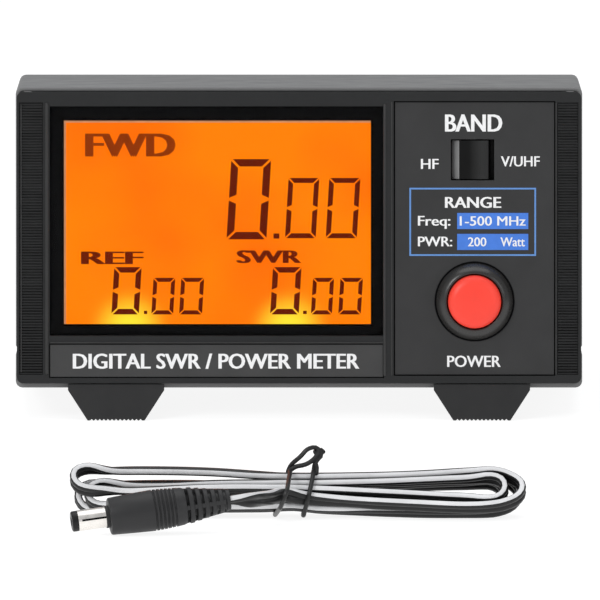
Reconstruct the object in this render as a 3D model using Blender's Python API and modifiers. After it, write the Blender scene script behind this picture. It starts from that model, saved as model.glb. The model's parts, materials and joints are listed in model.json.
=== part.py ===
"""A bench SWR and power meter: a tilted instrument case with a lit display, a band rocker, a power
button, two fold-down feet and four coaxial sockets, and its tied power lead lying in front of it.

The meter is modelled level, in its own frame, under one empty that leans it back on its feet:
X runs to the right, Y from the front face into the case and Z up from the case's underside.
"""

import math

import bmesh
import bpy
from mathutils import Matrix, Vector

MM = 0.001
GAP = 0.3 * MM  # the clearance kept between two pieces that touch

# Case
CASE_HALF_WIDTH = 76.5 * MM
CASE_TOP = 81.2 * MM
CASE_REAR = 98.0 * MM
SHEET = 1.2 * MM
SHEET_BEND = 1.8 * MM
COVER_EDGE = 11.0 * MM  # height of the seam between the cover and the chassis
TAB_TOP = 18.0 * MM
SCREW_Y = (22.0 * MM, 80.0 * MM)
SCREW_Z = 14.6 * MM
SCREW_HEAD = 2.6 * MM  # radius of its countersunk head, which lies level with the cover
SCREW_SHANK = 1.3 * MM
SCREW_LENGTH = 4.6 * MM

# Front moulding
BEZEL_HALF_WIDTH = 76.2 * MM
BEZEL_LOW = 1.3 * MM
BEZEL_HIGH = 80.0 * MM
BEZEL_CORNER = 1.6 * MM
BEZEL_THICK = 2.5 * MM
RIM_HALF_WIDTH = 73.3 * MM
RIM_REAR = 10.0 * MM
RIB_STRIPS = ((-75.6 * MM, -69.1 * MM), (69.7 * MM, 75.4 * MM))
RIB_POCKET = 0.5 * MM

# Display, left to right and bottom to top
WINDOW = (-67.0 * MM, 22.7 * MM, 14.4 * MM, 75.8 * MM)
ACTIVE = (-63.5 * MM, 19.4 * MM, 17.1 * MM, 72.1 * MM)
WINDOW_Y = (0.6 * MM, 1.8 * MM)
FRAME_Y = (2.8 * MM, 4.4 * MM)
GLASS_Y = (4.7 * MM, 6.7 * MM)
DIFFUSER_Y = (7.0 * MM, 10.4 * MM)
BOARD_Y = (10.7 * MM, 12.3 * MM)
BACKLIGHTS = {"left": -45.8 * MM, "right": -2.7 * MM}

# Title plate and control plate
TITLE = (-67.2 * MM, 22.7 * MM, 3.0 * MM, 11.7 * MM)
TITLE_Y = (0.3 * MM, 1.0 * MM)
PANEL = (25.9 * MM, 68.9 * MM, 3.6 * MM, 77.2 * MM)
PANEL_Y = (0.5 * MM, 2.5 * MM)

# Band rocker, tipped to its left side at rest
ROCKER_X = 46.85 * MM
ROCKER_Z = 61.65 * MM
ROCKER_PIVOT_Y = 5.6 * MM
ROCKER_TIP = math.radians(10)
ROCKER_HOLE = (11.7 * MM, 11.1 * MM)
ROCKER_HEIGHT = 10.4 * MM

# Power button
BUTTON_X = 47.4 * MM
BUTTON_Z = 23.4 * MM
BUTTON_FACE = -4.4 * MM
BUTTON_RADIUS = 7.2 * MM
SLEEVE_RADIUS = 8.1 * MM

# Tilt feet and rear feet
FOOT_X = 49.4 * MM
FOOT_REACH = 8.8 * MM
FOOT_TOP_WIDTH = 26.0 * MM
FOOT_TIP_WIDTH = 15.4 * MM
FOOT_Y = (0.4 * MM, 2.2 * MM)
FOOT_TEETH = 14
HINGE_Y = 3.6 * MM
HINGE_Z = -1.8 * MM
PAD_Y = 76.0 * MM
PAD_HEIGHT = 1.9 * MM
PAD_RADIUS = 6.0 * MM
FOOT_MIDDLE_Y = sum(FOOT_Y) / 2
TILT = math.atan((FOOT_REACH - PAD_HEIGHT) / (PAD_Y - FOOT_MIDDLE_Y))

# Rear
REAR_PANEL_Y = (95.6 * MM, 97.1 * MM)
SOCKET_X = {
    "vuhf_antenna": -56.0 * MM,
    "vuhf_transmitter": -24.0 * MM,
    "hf_transmitter": 24.0 * MM,
    "hf_antenna": 56.0 * MM,
}
SOCKET_Z = 44.0 * MM
FLANGE_SIDE = 25.4 * MM
FLANGE_THICK = 3.0 * MM
SOCKET_LENGTH = 15.5 * MM
SOCKET_RADIUS = 7.9 * MM
SOCKET_BORE = 6.0 * MM
SOCKET_DEPTH = 9.0 * MM
CONTACT_DEPTH = 5.4 * MM
FLANGE_Y = REAR_PANEL_Y[1] + GAP
SOCKET_RIM = FLANGE_Y + SOCKET_LENGTH
COUPLERS = {"vuhf": (-68.0 * MM, -12.0 * MM), "hf": (12.0 * MM, 68.0 * MM)}
COUPLER_Z = (29.0 * MM, 59.0 * MM)
COUPLER_Y = (66.0 * MM, 95.2 * MM)
JACK_Z = 18.0 * MM

# Power lead, lying on the floor in front of the meter
HANK_LENGTH = 123.0 * MM
HANK_WIDTH = 21.0 * MM
HANK_HEIGHT = 14.5 * MM
HANK_AHEAD = 179.0 * MM  # from the feet to the middle of the hank
TIE_X = -1.5 * MM
TIE_GROOVE = (5.0 * MM, 1.8 * MM)
TIE_WIRE = 0.7 * MM
PLUG_NOSE_RADIUS = 4.9 * MM
PLUG_RADIUS = 5.5 * MM
PLUG_LENGTH = 32.0 * MM
PLUG_TIP = Vector((-59.5 * MM, -34.0 * MM))  # seen from above, from the hank's middle
PLUG_TAIL = Vector((-18.5 * MM, -28.3 * MM))
PLUG_TIP_HEIGHT = 3.75 * MM
PLUG_RISE = math.radians(7.0)  # from its tip towards its tail, which the hank holds up

# The stance: the feet's tips at height 0 and the meter's box centred on the origin
CASE_Z = FOOT_MIDDLE_Y * math.sin(TILT) + FOOT_REACH * math.cos(TILT)
FRONTMOST = BUTTON_FACE * math.cos(TILT) + (BUTTON_Z - BUTTON_RADIUS) * math.sin(TILT)
REARMOST = SOCKET_RIM * math.cos(TILT) + (SOCKET_Z + SOCKET_RADIUS) * math.sin(TILT)
CASE_Y = -(FRONTMOST + REARMOST) / 2
FEET_Y = CASE_Y + FOOT_MIDDLE_Y * math.cos(TILT) - FOOT_REACH * math.sin(TILT)

for old in list(bpy.data.objects):
    bpy.data.objects.remove(old)

model = bpy.data.collections.new("swr_meter")
bpy.context.scene.collection.children.link(model)


# ---------------------------------------------------------------- materials


def material(name, colour, roughness, metallic=0.0):
    made = bpy.data.materials.new(name)
    made.use_nodes = True
    shader = made.node_tree.nodes["Principled BSDF"]
    shader.inputs["Base Color"].default_value = (*colour, 1.0)
    shader.inputs["Roughness"].default_value = roughness
    shader.inputs["Metallic"].default_value = metallic
    return made


MATERIALS = {
    "cover_paint": material("cover_paint", (0.21, 0.21, 0.21), 0.5),
    "bezel_plastic": material("bezel_plastic", (0.030, 0.031, 0.032), 0.55),
    "panel_plastic": material("panel_plastic", (0.055, 0.055, 0.056), 0.5),
    "foot_plastic": material("foot_plastic", (0.033, 0.033, 0.034), 0.6),
    "black_plastic": material("black_plastic", (0.01, 0.01, 0.01), 0.4),
    "red_plastic": material("red_plastic", (0.90, 0.09, 0.06), 0.4),
    "window_acrylic": material("window_acrylic", (0.8, 0.8, 0.8), 0.05),
    "lcd_glass": material("lcd_glass", (0.9, 0.22, 0.01), 0.1),
    "diffuser_acrylic": material("diffuser_acrylic", (0.9, 0.5, 0.15), 0.5),
    "led_resin": material("led_resin", (0.95, 0.75, 0.2), 0.2),
    "board_laminate": material("board_laminate", (0.02, 0.14, 0.05), 0.5),
    "tinned_steel": material("tinned_steel", (0.62, 0.62, 0.60), 0.35, 1.0),
    "nickel": material("nickel", (0.66, 0.65, 0.61), 0.25, 1.0),
    "brass": material("brass", (0.75, 0.55, 0.25), 0.3, 1.0),
    "steel": material("steel", (0.55, 0.55, 0.55), 0.3, 1.0),
    "white_resin": material("white_resin", (0.85, 0.84, 0.80), 0.4),
    "rubber": material("rubber", (0.02, 0.02, 0.02), 0.8),
    "cord_vinyl": material("cord_vinyl", (0.02, 0.02, 0.02), 0.4),
    "ribbon_vinyl": material("ribbon_vinyl", (0.45, 0.45, 0.46), 0.5),
}


# ---------------------------------------------------------------- building blocks


def empty(name, place, tilt=0.0, turn=0.0):
    made = bpy.data.objects.new(name, None)
    made.location = place
    made.rotation_euler = (tilt, 0, turn)
    model.objects.link(made)
    return made


def add(name, mesh, slot, parent, place=(0, 0, 0), turn=0.0):
    """An object of the model with one material, placed in its parent's frame."""
    made = bpy.data.objects.new(name, mesh)
    mesh.materials.clear()
    mesh.materials.append(MATERIALS[slot])
    made.parent = parent
    made.location = place
    made.rotation_euler = (0, 0, turn)
    model.objects.link(made)
    return made


def evaluated(obj):
    """The object's mesh with its modifiers applied; the object itself is removed."""
    graph = bpy.context.evaluated_depsgraph_get()
    mesh = bpy.data.meshes.new_from_object(obj.evaluated_get(graph))
    mesh.transform(obj.matrix_world)
    bpy.data.objects.remove(obj)
    return mesh


def loose(data):
    """A helper object, in the scene only until its mesh has been taken."""
    made = bpy.data.objects.new("helper", data)
    bpy.context.scene.collection.objects.link(made)
    return made


def mesh_from(work):
    mesh = bpy.data.meshes.new("mesh")
    bmesh.ops.recalc_face_normals(work, faces=work.faces)
    work.to_mesh(mesh)
    work.free()
    return mesh


def box(low, high, bevel=0.0):
    """A box between two corners, with all its edges bevelled by one segment if bevel is given."""
    low, high = Vector(low), Vector(high)
    work = bmesh.new()
    size = Matrix.Diagonal((*(high - low), 1.0))
    bmesh.ops.create_cube(work, size=1.0, matrix=Matrix.Translation((low + high) / 2) @ size)
    if bevel:
        bmesh.ops.bevel(work, geom=work.edges[:], offset=bevel, segments=1, affect="EDGES")
    return mesh_from(work)


AXIS_TURN = {
    "X": Matrix.Rotation(math.radians(90), 4, "Y"),
    "Y": Matrix.Rotation(math.radians(-90), 4, "X"),
    "Z": Matrix.Identity(4),
}


def cylinder(radius, start, length, axis, sides=24):
    """A cylinder that runs from start for length towards +axis."""
    work = bmesh.new()
    place = Matrix.Translation(start) @ AXIS_TURN[axis] @ Matrix.Translation((0, 0, length / 2))
    bmesh.ops.create_cone(
        work, cap_ends=True, segments=sides, radius1=radius, radius2=radius, depth=length,
        matrix=place,
    )
    return mesh_from(work)


def turned(profile, centre=(0, 0, 0), axis="Y", steps=32):
    """A closed profile of (radius, distance along the axis) turned about the axis at centre."""
    work = bmesh.new()
    corners = [work.verts.new((radius, 0, along)) for radius, along in profile]
    for one, two in zip(corners, corners[1:] + corners[:1]):
        if one.co.x or two.co.x:
            work.edges.new((one, two))
    mesh = bpy.data.meshes.new("profile")
    work.to_mesh(mesh)
    work.free()
    helper = loose(mesh)
    screw = helper.modifiers.new("turn", "SCREW")
    screw.steps = screw.render_steps = steps
    screw.use_merge_vertices = True
    screw.merge_threshold = 1e-6
    helper.matrix_world = Matrix.Translation(centre) @ AXIS_TURN[axis]
    bpy.context.view_layer.update()
    work = bmesh.new()
    work.from_mesh(evaluated(helper))
    bmesh.ops.remove_doubles(work, verts=work.verts, dist=1e-6)
    return mesh_from(work)


def outline_plate(points, low, high, plane="XZ"):
    """A flat outline, as a filled 2D curve, given the thickness from low to high.

    In plane XZ the thickness runs along Y, in XY along Z, and in YZ along X. The curve is drawn in
    millimetres and scaled, because a curve's fill drops details finer than 0.03 of its unit."""
    curve = bpy.data.curves.new("outline", "CURVE")
    curve.dimensions = "2D"
    curve.fill_mode = "BOTH"
    curve.extrude = (high - low) / 2 / MM
    spline = curve.splines.new("POLY")
    spline.points.add(len(points) - 1)
    for point, (across, up) in zip(spline.points, points):
        point.co = (across / MM, up / MM, 0, 1)
    spline.use_cyclic_u = True
    helper = loose(curve)
    middle = (low + high) / 2
    helper.matrix_world = {
        "XZ": Matrix.Translation((0, middle, 0)) @ Matrix.Rotation(math.radians(90), 4, "X"),
        "XY": Matrix.Translation((0, 0, middle)),
        "YZ": Matrix.Translation((middle, 0, 0))
        @ Matrix(((0, 0, 1, 0), (1, 0, 0, 0), (0, 1, 0, 0), (0, 0, 0, 1))),
    }[plane] @ Matrix.Scale(MM, 4)
    bpy.context.view_layer.update()
    work = bmesh.new()
    work.from_mesh(evaluated(helper))
    bmesh.ops.remove_doubles(work, verts=work.verts, dist=1e-6)
    return mesh_from(work)


def wire(points, radius, closed=False, rounding=2):
    """A wire through the points, with filled ends unless it is closed."""
    curve = bpy.data.curves.new("wire", "CURVE")
    curve.dimensions = "3D"
    curve.bevel_depth = radius
    curve.bevel_resolution = rounding
    curve.use_fill_caps = not closed
    spline = curve.splines.new("POLY")
    spline.points.add(len(points) - 1)
    for point, place in zip(spline.points, points):
        point.co = (*place, 1)
    spline.use_cyclic_u = closed
    work = bmesh.new()
    work.from_mesh(evaluated(loose(curve)))
    bmesh.ops.remove_doubles(work, verts=work.verts, dist=1e-6)
    return mesh_from(work)


def combined(base, others, operation):
    """base joined with the other meshes, or cut by them."""
    helper = loose(base)
    tools = [loose(other) for other in others]
    for tool in tools:
        change = helper.modifiers.new("combine", "BOOLEAN")
        change.operation = operation
        change.object = tool
    bpy.context.view_layer.update()
    mesh = evaluated(helper)
    for tool in tools:
        bpy.data.objects.remove(tool)
    return mesh


def joined(base, *others):
    return combined(base, others, "UNION")


def cut(base, *others):
    return combined(base, others, "DIFFERENCE")


def smooth(obj, angle=35):
    """Smooth shading on the round stretches, with every sharper edge kept."""
    obj.data.shade_smooth()
    obj.data.set_sharp_from_angle(angle=math.radians(angle))


def arc(centre, radius, start, end, steps):
    """Points on an arc in a plane, by angle in degrees."""
    angles = [math.radians(start + (end - start) * i / steps) for i in range(steps + 1)]
    return [(centre[0] + radius * math.cos(a), centre[1] + radius * math.sin(a)) for a in angles]


def rounded(left, right, low, high, radius, steps=4):
    """The outline of a rectangle with round corners."""
    points = []
    for across, up, start in (
        (right - radius, high - radius, 0),
        (left + radius, high - radius, 90),
        (left + radius, low + radius, 180),
        (right - radius, low + radius, 270),
    ):
        points += arc((across, up), radius, start, start + 90, steps)
    return points


def rectangle(area, grow=0.0):
    left, right, low, high = area
    return left - grow, right + grow, low - grow, high + grow


def area_box(area, depth, grow=0.0, bevel=0.0):
    """A box over an area of the front face, between two depths."""
    left, right, low, high = rectangle(area, grow)
    return box((left, depth[0], low), (right, depth[1], high), bevel)


def bent_sheet(profile, start, end):
    """Sheet metal: an open profile of (x, z) drawn out along Y and thickened inwards."""
    work = bmesh.new()
    corners = [work.verts.new((x, start, z)) for x, z in profile]
    edges = [work.edges.new(pair) for pair in zip(corners, corners[1:])]
    drawn = bmesh.ops.extrude_edge_only(work, edges=edges)["geom"]
    moved = [item for item in drawn if isinstance(item, bmesh.types.BMVert)]
    bmesh.ops.translate(work, verts=moved, vec=(0, end - start, 0))
    mesh = bpy.data.meshes.new("sheet")
    work.to_mesh(mesh)
    work.free()
    helper = loose(mesh)
    wall = helper.modifiers.new("wall", "SOLIDIFY")
    wall.thickness = SHEET
    wall.offset = -1.0
    wall.use_even_offset = True
    work = bmesh.new()
    work.from_mesh(evaluated(helper))
    return mesh_from(work)


# ---------------------------------------------------------------- case


def on_side(mesh, sign, y):
    """A mesh made for the right side, turned round for the left side where the sign is -1."""
    if sign < 0:
        mesh.transform(Matrix.Rotation(math.pi, 4, "Z"))
        mesh.transform(Matrix.Translation((0, 2 * y, 0)))
    return mesh


def countersink(sign, y):
    """The tool that cuts one countersunk screw hole through a side of the cover."""
    face = SCREW_LENGTH
    profile = [
        (0, 0), (0, face + 2 * MM), (SCREW_HEAD + GAP, face + 2 * MM), (SCREW_HEAD + GAP, face),
        (SCREW_SHANK + 0.5 * MM, face - SHEET), (SCREW_SHANK + 0.5 * MM, 0),
    ]
    return on_side(turned(profile, (CASE_HALF_WIDTH - SCREW_LENGTH, y, SCREW_Z), "X", 16), sign, y)


def build_cover(case):
    """The painted top cover: a roof and two sides, with a hole for each side screw."""
    inner = CASE_HALF_WIDTH - SHEET_BEND
    roof = CASE_TOP - SHEET_BEND
    profile = [(-CASE_HALF_WIDTH, COVER_EDGE)]
    profile += arc((-inner, roof), SHEET_BEND, 180, 90, 4)
    profile += arc((inner, roof), SHEET_BEND, 90, 0, 4)
    profile += [(CASE_HALF_WIDTH, COVER_EDGE)]
    sheet = bent_sheet(profile[::-1], BEZEL_THICK + GAP, CASE_REAR)
    holes = [countersink(sign, y) for sign in (-1, 1) for y in SCREW_Y]
    smooth(add("top_cover", cut(sheet, *holes), "cover_paint", case))


def build_chassis(case):
    """The painted chassis: a floor, low sides that step in behind the cover, and board studs."""
    inner = CASE_HALF_WIDTH - SHEET_BEND
    step = CASE_HALF_WIDTH - SHEET - GAP
    right = [(step, TAB_TOP), (step, COVER_EDGE - 0.4 * MM), (CASE_HALF_WIDTH, COVER_EDGE - 2 * MM)]
    left = [(-x, z) for x, z in reversed(right)]
    profile = left[::-1]
    profile += arc((-inner, SHEET_BEND), SHEET_BEND, 180, 270, 4)
    profile += arc((inner, SHEET_BEND), SHEET_BEND, 270, 360, 4)
    profile += right[::-1]
    sheet = bent_sheet(profile, BEZEL_THICK + GAP, CASE_REAR)
    studs = [
        cylinder(2.5 * MM, (x, y, SHEET / 2), 6 * MM, "Z", 8)
        for x in (-54 * MM, 54 * MM)
        for y in (26 * MM, 56 * MM)
    ]
    holes = [
        cylinder(1.5 * MM + GAP / 2, (-CASE_HALF_WIDTH, y, SCREW_Z), 2 * CASE_HALF_WIDTH, "X", 12)
        for y in SCREW_Y
    ]
    smooth(add("bottom_chassis", cut(joined(sheet, *studs), *holes), "cover_paint", case))


def build_cover_screws(case):
    """Slotted countersunk screws through the cover's sides into the chassis."""
    face = SCREW_LENGTH
    profile = [
        (0, 0), (0, face), (SCREW_HEAD, face), (SCREW_HEAD, face - 0.1 * MM),
        (SCREW_SHANK, face - SHEET - 0.2 * MM), (SCREW_SHANK, 0),
    ]
    for side, sign in (("left", -1), ("right", 1)):
        for place, y in zip(("front", "rear"), SCREW_Y):
            mesh = turned(profile, (CASE_HALF_WIDTH - face, y, SCREW_Z), "X", 16)
            slot = box(
                (CASE_HALF_WIDTH - 0.5 * MM, y - SCREW_HEAD, SCREW_Z - 0.35 * MM),
                (CASE_HALF_WIDTH + 1 * MM, y + SCREW_HEAD, SCREW_Z + 0.35 * MM),
            )
            screw = on_side(cut(mesh, slot), sign, y)
            smooth(add(f"{side}_{place}_screw", screw, "steel", case))


def build_bezel(case):
    """The front moulding: a flange over the sheet metal's edge and a rim inside it."""
    flange = outline_plate(
        rounded(-BEZEL_HALF_WIDTH, BEZEL_HALF_WIDTH, BEZEL_LOW, BEZEL_HIGH, BEZEL_CORNER),
        0, BEZEL_THICK,
    )
    rim_low, rim_high = SHEET + 0.4 * MM, CASE_TOP - SHEET - 0.4 * MM
    rim = box((-RIM_HALF_WIDTH, BEZEL_THICK / 2, rim_low), (RIM_HALF_WIDTH, RIM_REAR, rim_high))
    wall = 1.6 * MM
    hollow = box(
        (-RIM_HALF_WIDTH + wall, BEZEL_THICK, rim_low + wall),
        (RIM_HALF_WIDTH - wall, RIM_REAR * 2, rim_high - wall),
    )
    through = (-RIM_REAR, RIM_REAR * 2)
    window = area_box(WINDOW, through, GAP)
    panel = area_box(PANEL, through, GAP)
    title = area_box(TITLE, (-RIM_REAR, TITLE_Y[1] + 0.2 * MM), GAP)
    strips = [
        area_box((left, right, PANEL[2], PANEL[3]), (-RIM_REAR, RIB_POCKET))
        for left, right in RIB_STRIPS
    ]
    mesh = cut(joined(flange, rim), hollow, window, panel, title, *strips)
    smooth(add("front_bezel", mesh, "bezel_plastic", case))


def build_rear_panel(case):
    low, high = SHEET + 0.4 * MM, CASE_TOP - SHEET - 0.4 * MM
    plate = box((-RIM_HALF_WIDTH, REAR_PANEL_Y[0], low), (RIM_HALF_WIDTH, REAR_PANEL_Y[1], high))
    behind, deep = REAR_PANEL_Y[0] - 5 * MM, 12 * MM
    holes = [
        cylinder(6.5 * MM, (x, behind, SOCKET_Z), deep, "Y", 16) for x in SOCKET_X.values()
    ]
    holes.append(cylinder(5.3 * MM, (0, behind, JACK_Z), deep, "Y", 32))
    smooth(add("rear_panel", cut(plate, *holes), "cover_paint", case))


# ---------------------------------------------------------------- display and plates


def build_display(case):
    add("display_window", area_box(WINDOW, WINDOW_Y), "window_acrylic", case)
    frame = area_box(WINDOW, FRAME_Y, 1.4 * MM)
    opening = area_box(ACTIVE, (0, 2 * FRAME_Y[1]), 0.6 * MM)
    add("lcd_frame", cut(frame, opening), "black_plastic", case)
    add("lcd_glass", area_box(ACTIVE, GLASS_Y, 2.0 * MM), "lcd_glass", case)
    diffuser = area_box(ACTIVE, DIFFUSER_Y, 1.5 * MM, 0.4 * MM)
    add("backlight_diffuser", diffuser, "diffuser_acrylic", case)
    board = area_box(WINDOW, BOARD_Y, 1.0 * MM)
    add("display_board", board, "board_laminate", case)
    for side, x in BACKLIGHTS.items():
        low, high = WINDOW[2] - 1.2 * MM, ACTIVE[2] - 1.9 * MM
        depth = (DIFFUSER_Y[0] + GAP, DIFFUSER_Y[1] - GAP)
        chip = area_box((x - 2.5 * MM, x + 2.5 * MM, low, high), depth, bevel=0.3 * MM)
        add(f"{side}_backlight_led", chip, "led_resin", case)


def build_plates(case):
    """The title plate in its pocket, and the control plate with its two openings."""
    add("title_plate", area_box(TITLE, TITLE_Y), "panel_plastic", case)
    half_width, half_height = ROCKER_HOLE[0] / 2, ROCKER_HOLE[1] / 2
    rocker_hole = area_box(
        (ROCKER_X - half_width, ROCKER_X + half_width, ROCKER_Z - half_height, ROCKER_Z + half_height),
        (-PANEL_Y[1], 2 * PANEL_Y[1]),
    )
    button_hole = cylinder(
        SLEEVE_RADIUS + GAP, (BUTTON_X, -PANEL_Y[1], BUTTON_Z), 3 * PANEL_Y[1], "Y", 32
    )
    plate = cut(area_box(PANEL, PANEL_Y), rocker_hole, button_hole)
    smooth(add("control_plate", plate, "panel_plastic", case))


# ---------------------------------------------------------------- controls


def build_rocker(case):
    """The band rocker on its two trunnions, and the switch body that carries them."""
    half = ROCKER_HEIGHT / 2
    dip = [(x * MM, (-4.7 - 0.5 * (x / 2.8) ** 2) * MM) for x in (2.8, 1.4, 0, -1.4, -2.8)]
    side = [
        (-5.0 * MM, -3.9 * MM), (-5.0 * MM, -0.5 * MM), (-3.6 * MM, 3.4 * MM),
        (3.6 * MM, 3.4 * MM), (5.0 * MM, -0.5 * MM), (5.0 * MM, -3.9 * MM),
    ]
    body = outline_plate(dip + side, -half, half, "XY")
    trunnion = cylinder(1.2 * MM, (0, 0, -half - 0.9 * MM), ROCKER_HEIGHT + 1.8 * MM, "Z", 16)
    place = (ROCKER_X, ROCKER_PIVOT_Y, ROCKER_Z)
    smooth(add("band_rocker", joined(body, trunnion), "black_plastic", case, place, -ROCKER_TIP))

    wall = 1.8 * MM
    half_width, half_height = ROCKER_HOLE[0] / 2, ROCKER_HOLE[1] / 2
    area = (ROCKER_X - half_width, ROCKER_X + half_width, ROCKER_Z - half_height, ROCKER_Z + half_height)
    housing = area_box(area, (PANEL_Y[1] + GAP, 13.5 * MM), wall)
    well = area_box(area, (0, 11.0 * MM))
    bearing = cylinder(
        1.35 * MM, (ROCKER_X, ROCKER_PIVOT_Y, ROCKER_Z - 10 * MM), 20 * MM, "Z", 16
    )
    smooth(add("band_switch_body", cut(housing, well, bearing), "black_plastic", case))


def build_button(case):
    """The push button: dished ring and sleeve, cap, return spring, nut and switch body."""
    centre = (BUTTON_X, 0, BUTTON_Z)
    front = PANEL_Y[0] - GAP
    ring = [
        (7.5 * MM, -1.5 * MM), (7.5 * MM, 16.0 * MM), (SLEEVE_RADIUS, 16.0 * MM),
        (SLEEVE_RADIUS, front), (10.35 * MM, front), (10.35 * MM, -1.6 * MM),
        (10.0 * MM, -2.3 * MM), (9.4 * MM, -2.6 * MM), (7.9 * MM, -1.7 * MM),
    ]
    smooth(add("power_button_ring", turned(ring, centre, steps=36), "black_plastic", case))

    cap_back, stem_end = 6.0 * MM, 17.0 * MM
    radius = BUTTON_RADIUS
    cap = [
        (0, BUTTON_FACE), (radius - 2.2 * MM, BUTTON_FACE + 0.1 * MM),
        (radius - 0.9 * MM, BUTTON_FACE + 0.5 * MM), (radius - 0.2 * MM, BUTTON_FACE + 1.2 * MM),
        (radius, BUTTON_FACE + 2.0 * MM), (radius, cap_back), (2.4 * MM, cap_back),
        (2.4 * MM, stem_end), (0, stem_end),
    ]
    smooth(add("power_button_cap", turned(cap, centre, steps=36), "red_plastic", case))

    seat, turns, coil = 14.6 * MM, 4, 4.4 * MM
    steps = 9 * turns
    rise = seat - cap_back - 1.2 * MM
    points = [
        (
            BUTTON_X + coil * math.cos(math.tau * turns * i / steps),
            cap_back + 0.6 * MM + rise * i / steps,
            BUTTON_Z + coil * math.sin(math.tau * turns * i / steps),
        )
        for i in range(steps + 1)
    ]
    smooth(add("power_button_spring", wire(points, 0.3 * MM, rounding=1), "steel", case))

    nut_start = PANEL_Y[1] + GAP
    nut = cylinder(11.0 * MM, (BUTTON_X, nut_start, BUTTON_Z), 3.0 * MM, "Y", 6)
    hole = cylinder(SLEEVE_RADIUS + GAP, (BUTTON_X, 0, BUTTON_Z), 10 * MM, "Y", 32)
    smooth(add("power_button_nut", cut(nut, hole), "nickel", case))

    body = box(
        (BUTTON_X - 7.2 * MM, 16.4 * MM, BUTTON_Z - 7.2 * MM),
        (BUTTON_X + 7.2 * MM, 30.0 * MM, BUTTON_Z + 7.2 * MM), 0.5 * MM,
    )
    collar = cylinder(6.4 * MM, (BUTTON_X, seat, BUTTON_Z), 4 * MM, "Y", 24)
    guide = cylinder(2.9 * MM, (BUTTON_X, 0, BUTTON_Z), 22 * MM, "Y", 24)
    contacts = [
        box((BUTTON_X + x - 0.4 * MM, 29 * MM, BUTTON_Z - 1.4 * MM),
            (BUTTON_X + x + 0.4 * MM, 35 * MM, BUTTON_Z + 1.4 * MM))
        for x in (-4 * MM, 4 * MM)
    ]
    smooth(add("power_switch_body", cut(joined(body, collar, *contacts), guide), "black_plastic", case))


# ---------------------------------------------------------------- feet


def floor_under(y):
    """The height of the floor in the meter's own frame, at a depth y."""
    return -FOOT_REACH + (y - FOOT_MIDDLE_Y) * math.tan(TILT)


def build_tilt_feet(case):
    """Fold-down feet, each a toothed plate that turns on a pin between two ears."""
    top, tip, half = 1.0 * MM, -FOOT_REACH, FOOT_TOP_WIDTH / 2
    shoulder = -0.6 * MM
    outline = [
        (-FOOT_TIP_WIDTH / 2, tip), (FOOT_TIP_WIDTH / 2, tip), (half, shoulder), (half, top),
        (-half, top), (-half, shoulder),
    ]
    pitch = FOOT_TIP_WIDTH / FOOT_TEETH
    for side, x in (("left", -FOOT_X), ("right", FOOT_X)):
        hinge = (x, HINGE_Y, HINGE_Z)
        plate = outline_plate([(x + across, up) for across, up in outline], *FOOT_Y)
        notches = [
            cylinder(0.42 * MM, (x + (i - FOOT_TEETH / 2) * pitch, -1 * MM, tip), 5 * MM, "Y", 4)
            for i in range(1, FOOT_TEETH)
        ]
        barrel = cylinder(1.4 * MM, (x - 5 * MM, HINGE_Y, HINGE_Z), 10 * MM, "X", 12)
        web = box((x - 5 * MM, FOOT_Y[1] - 0.5 * MM, HINGE_Z - 1.2 * MM),
                  (x + 5 * MM, HINGE_Y, HINGE_Z + 1.2 * MM))
        bore = cylinder(1.0 * MM, (x - 8 * MM, HINGE_Y, HINGE_Z), 16 * MM, "X", 12)
        mesh = cut(joined(plate, barrel, web), bore, *notches)
        mesh.transform(Matrix.Translation(-Vector(hinge)))
        smooth(add(f"{side}_tilt_foot", mesh, "foot_plastic", case, hinge))

        pin = cylinder(0.8 * MM, (x - 8.4 * MM, HINGE_Y, HINGE_Z), 16.8 * MM, "X", 12)
        smooth(add(f"{side}_foot_pin", pin, "steel", case))

        base = box((x - 8.6 * MM, 5.4 * MM, -1.6 * MM), (x + 8.6 * MM, 17 * MM, -GAP), 0.25 * MM)
        ears = []
        for inner in (-8.6 * MM, 5.4 * MM):
            start = x + inner
            ears.append(cylinder(1.15 * MM, (start, HINGE_Y, HINGE_Z), 3.2 * MM, "X", 12))
            ears.append(box((start, HINGE_Y, HINGE_Z - 0.9 * MM), (start + 3.2 * MM, 8 * MM, -0.5 * MM)))
        bore = cylinder(0.95 * MM, (x - 12 * MM, HINGE_Y, HINGE_Z), 24 * MM, "X", 12)
        smooth(add(f"{side}_foot_bracket", cut(joined(base, *ears), bore), "black_plastic", case))


def build_rear_feet(case):
    """Rubber pads whose undersides lie flat on the floor."""
    for side, x in (("left", -FOOT_X), ("right", FOOT_X)):
        work = bmesh.new()
        work.from_mesh(cylinder(PAD_RADIUS, (x, PAD_Y, -GAP), -1 * MM, "Z", 24))
        for corner in work.verts:
            if corner.co.z < -GAP * 1.5:
                corner.co.z = floor_under(corner.co.y)
        smooth(add(f"{side}_rear_foot", mesh_from(work), "rubber", case))


# ---------------------------------------------------------------- inside and rear


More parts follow.
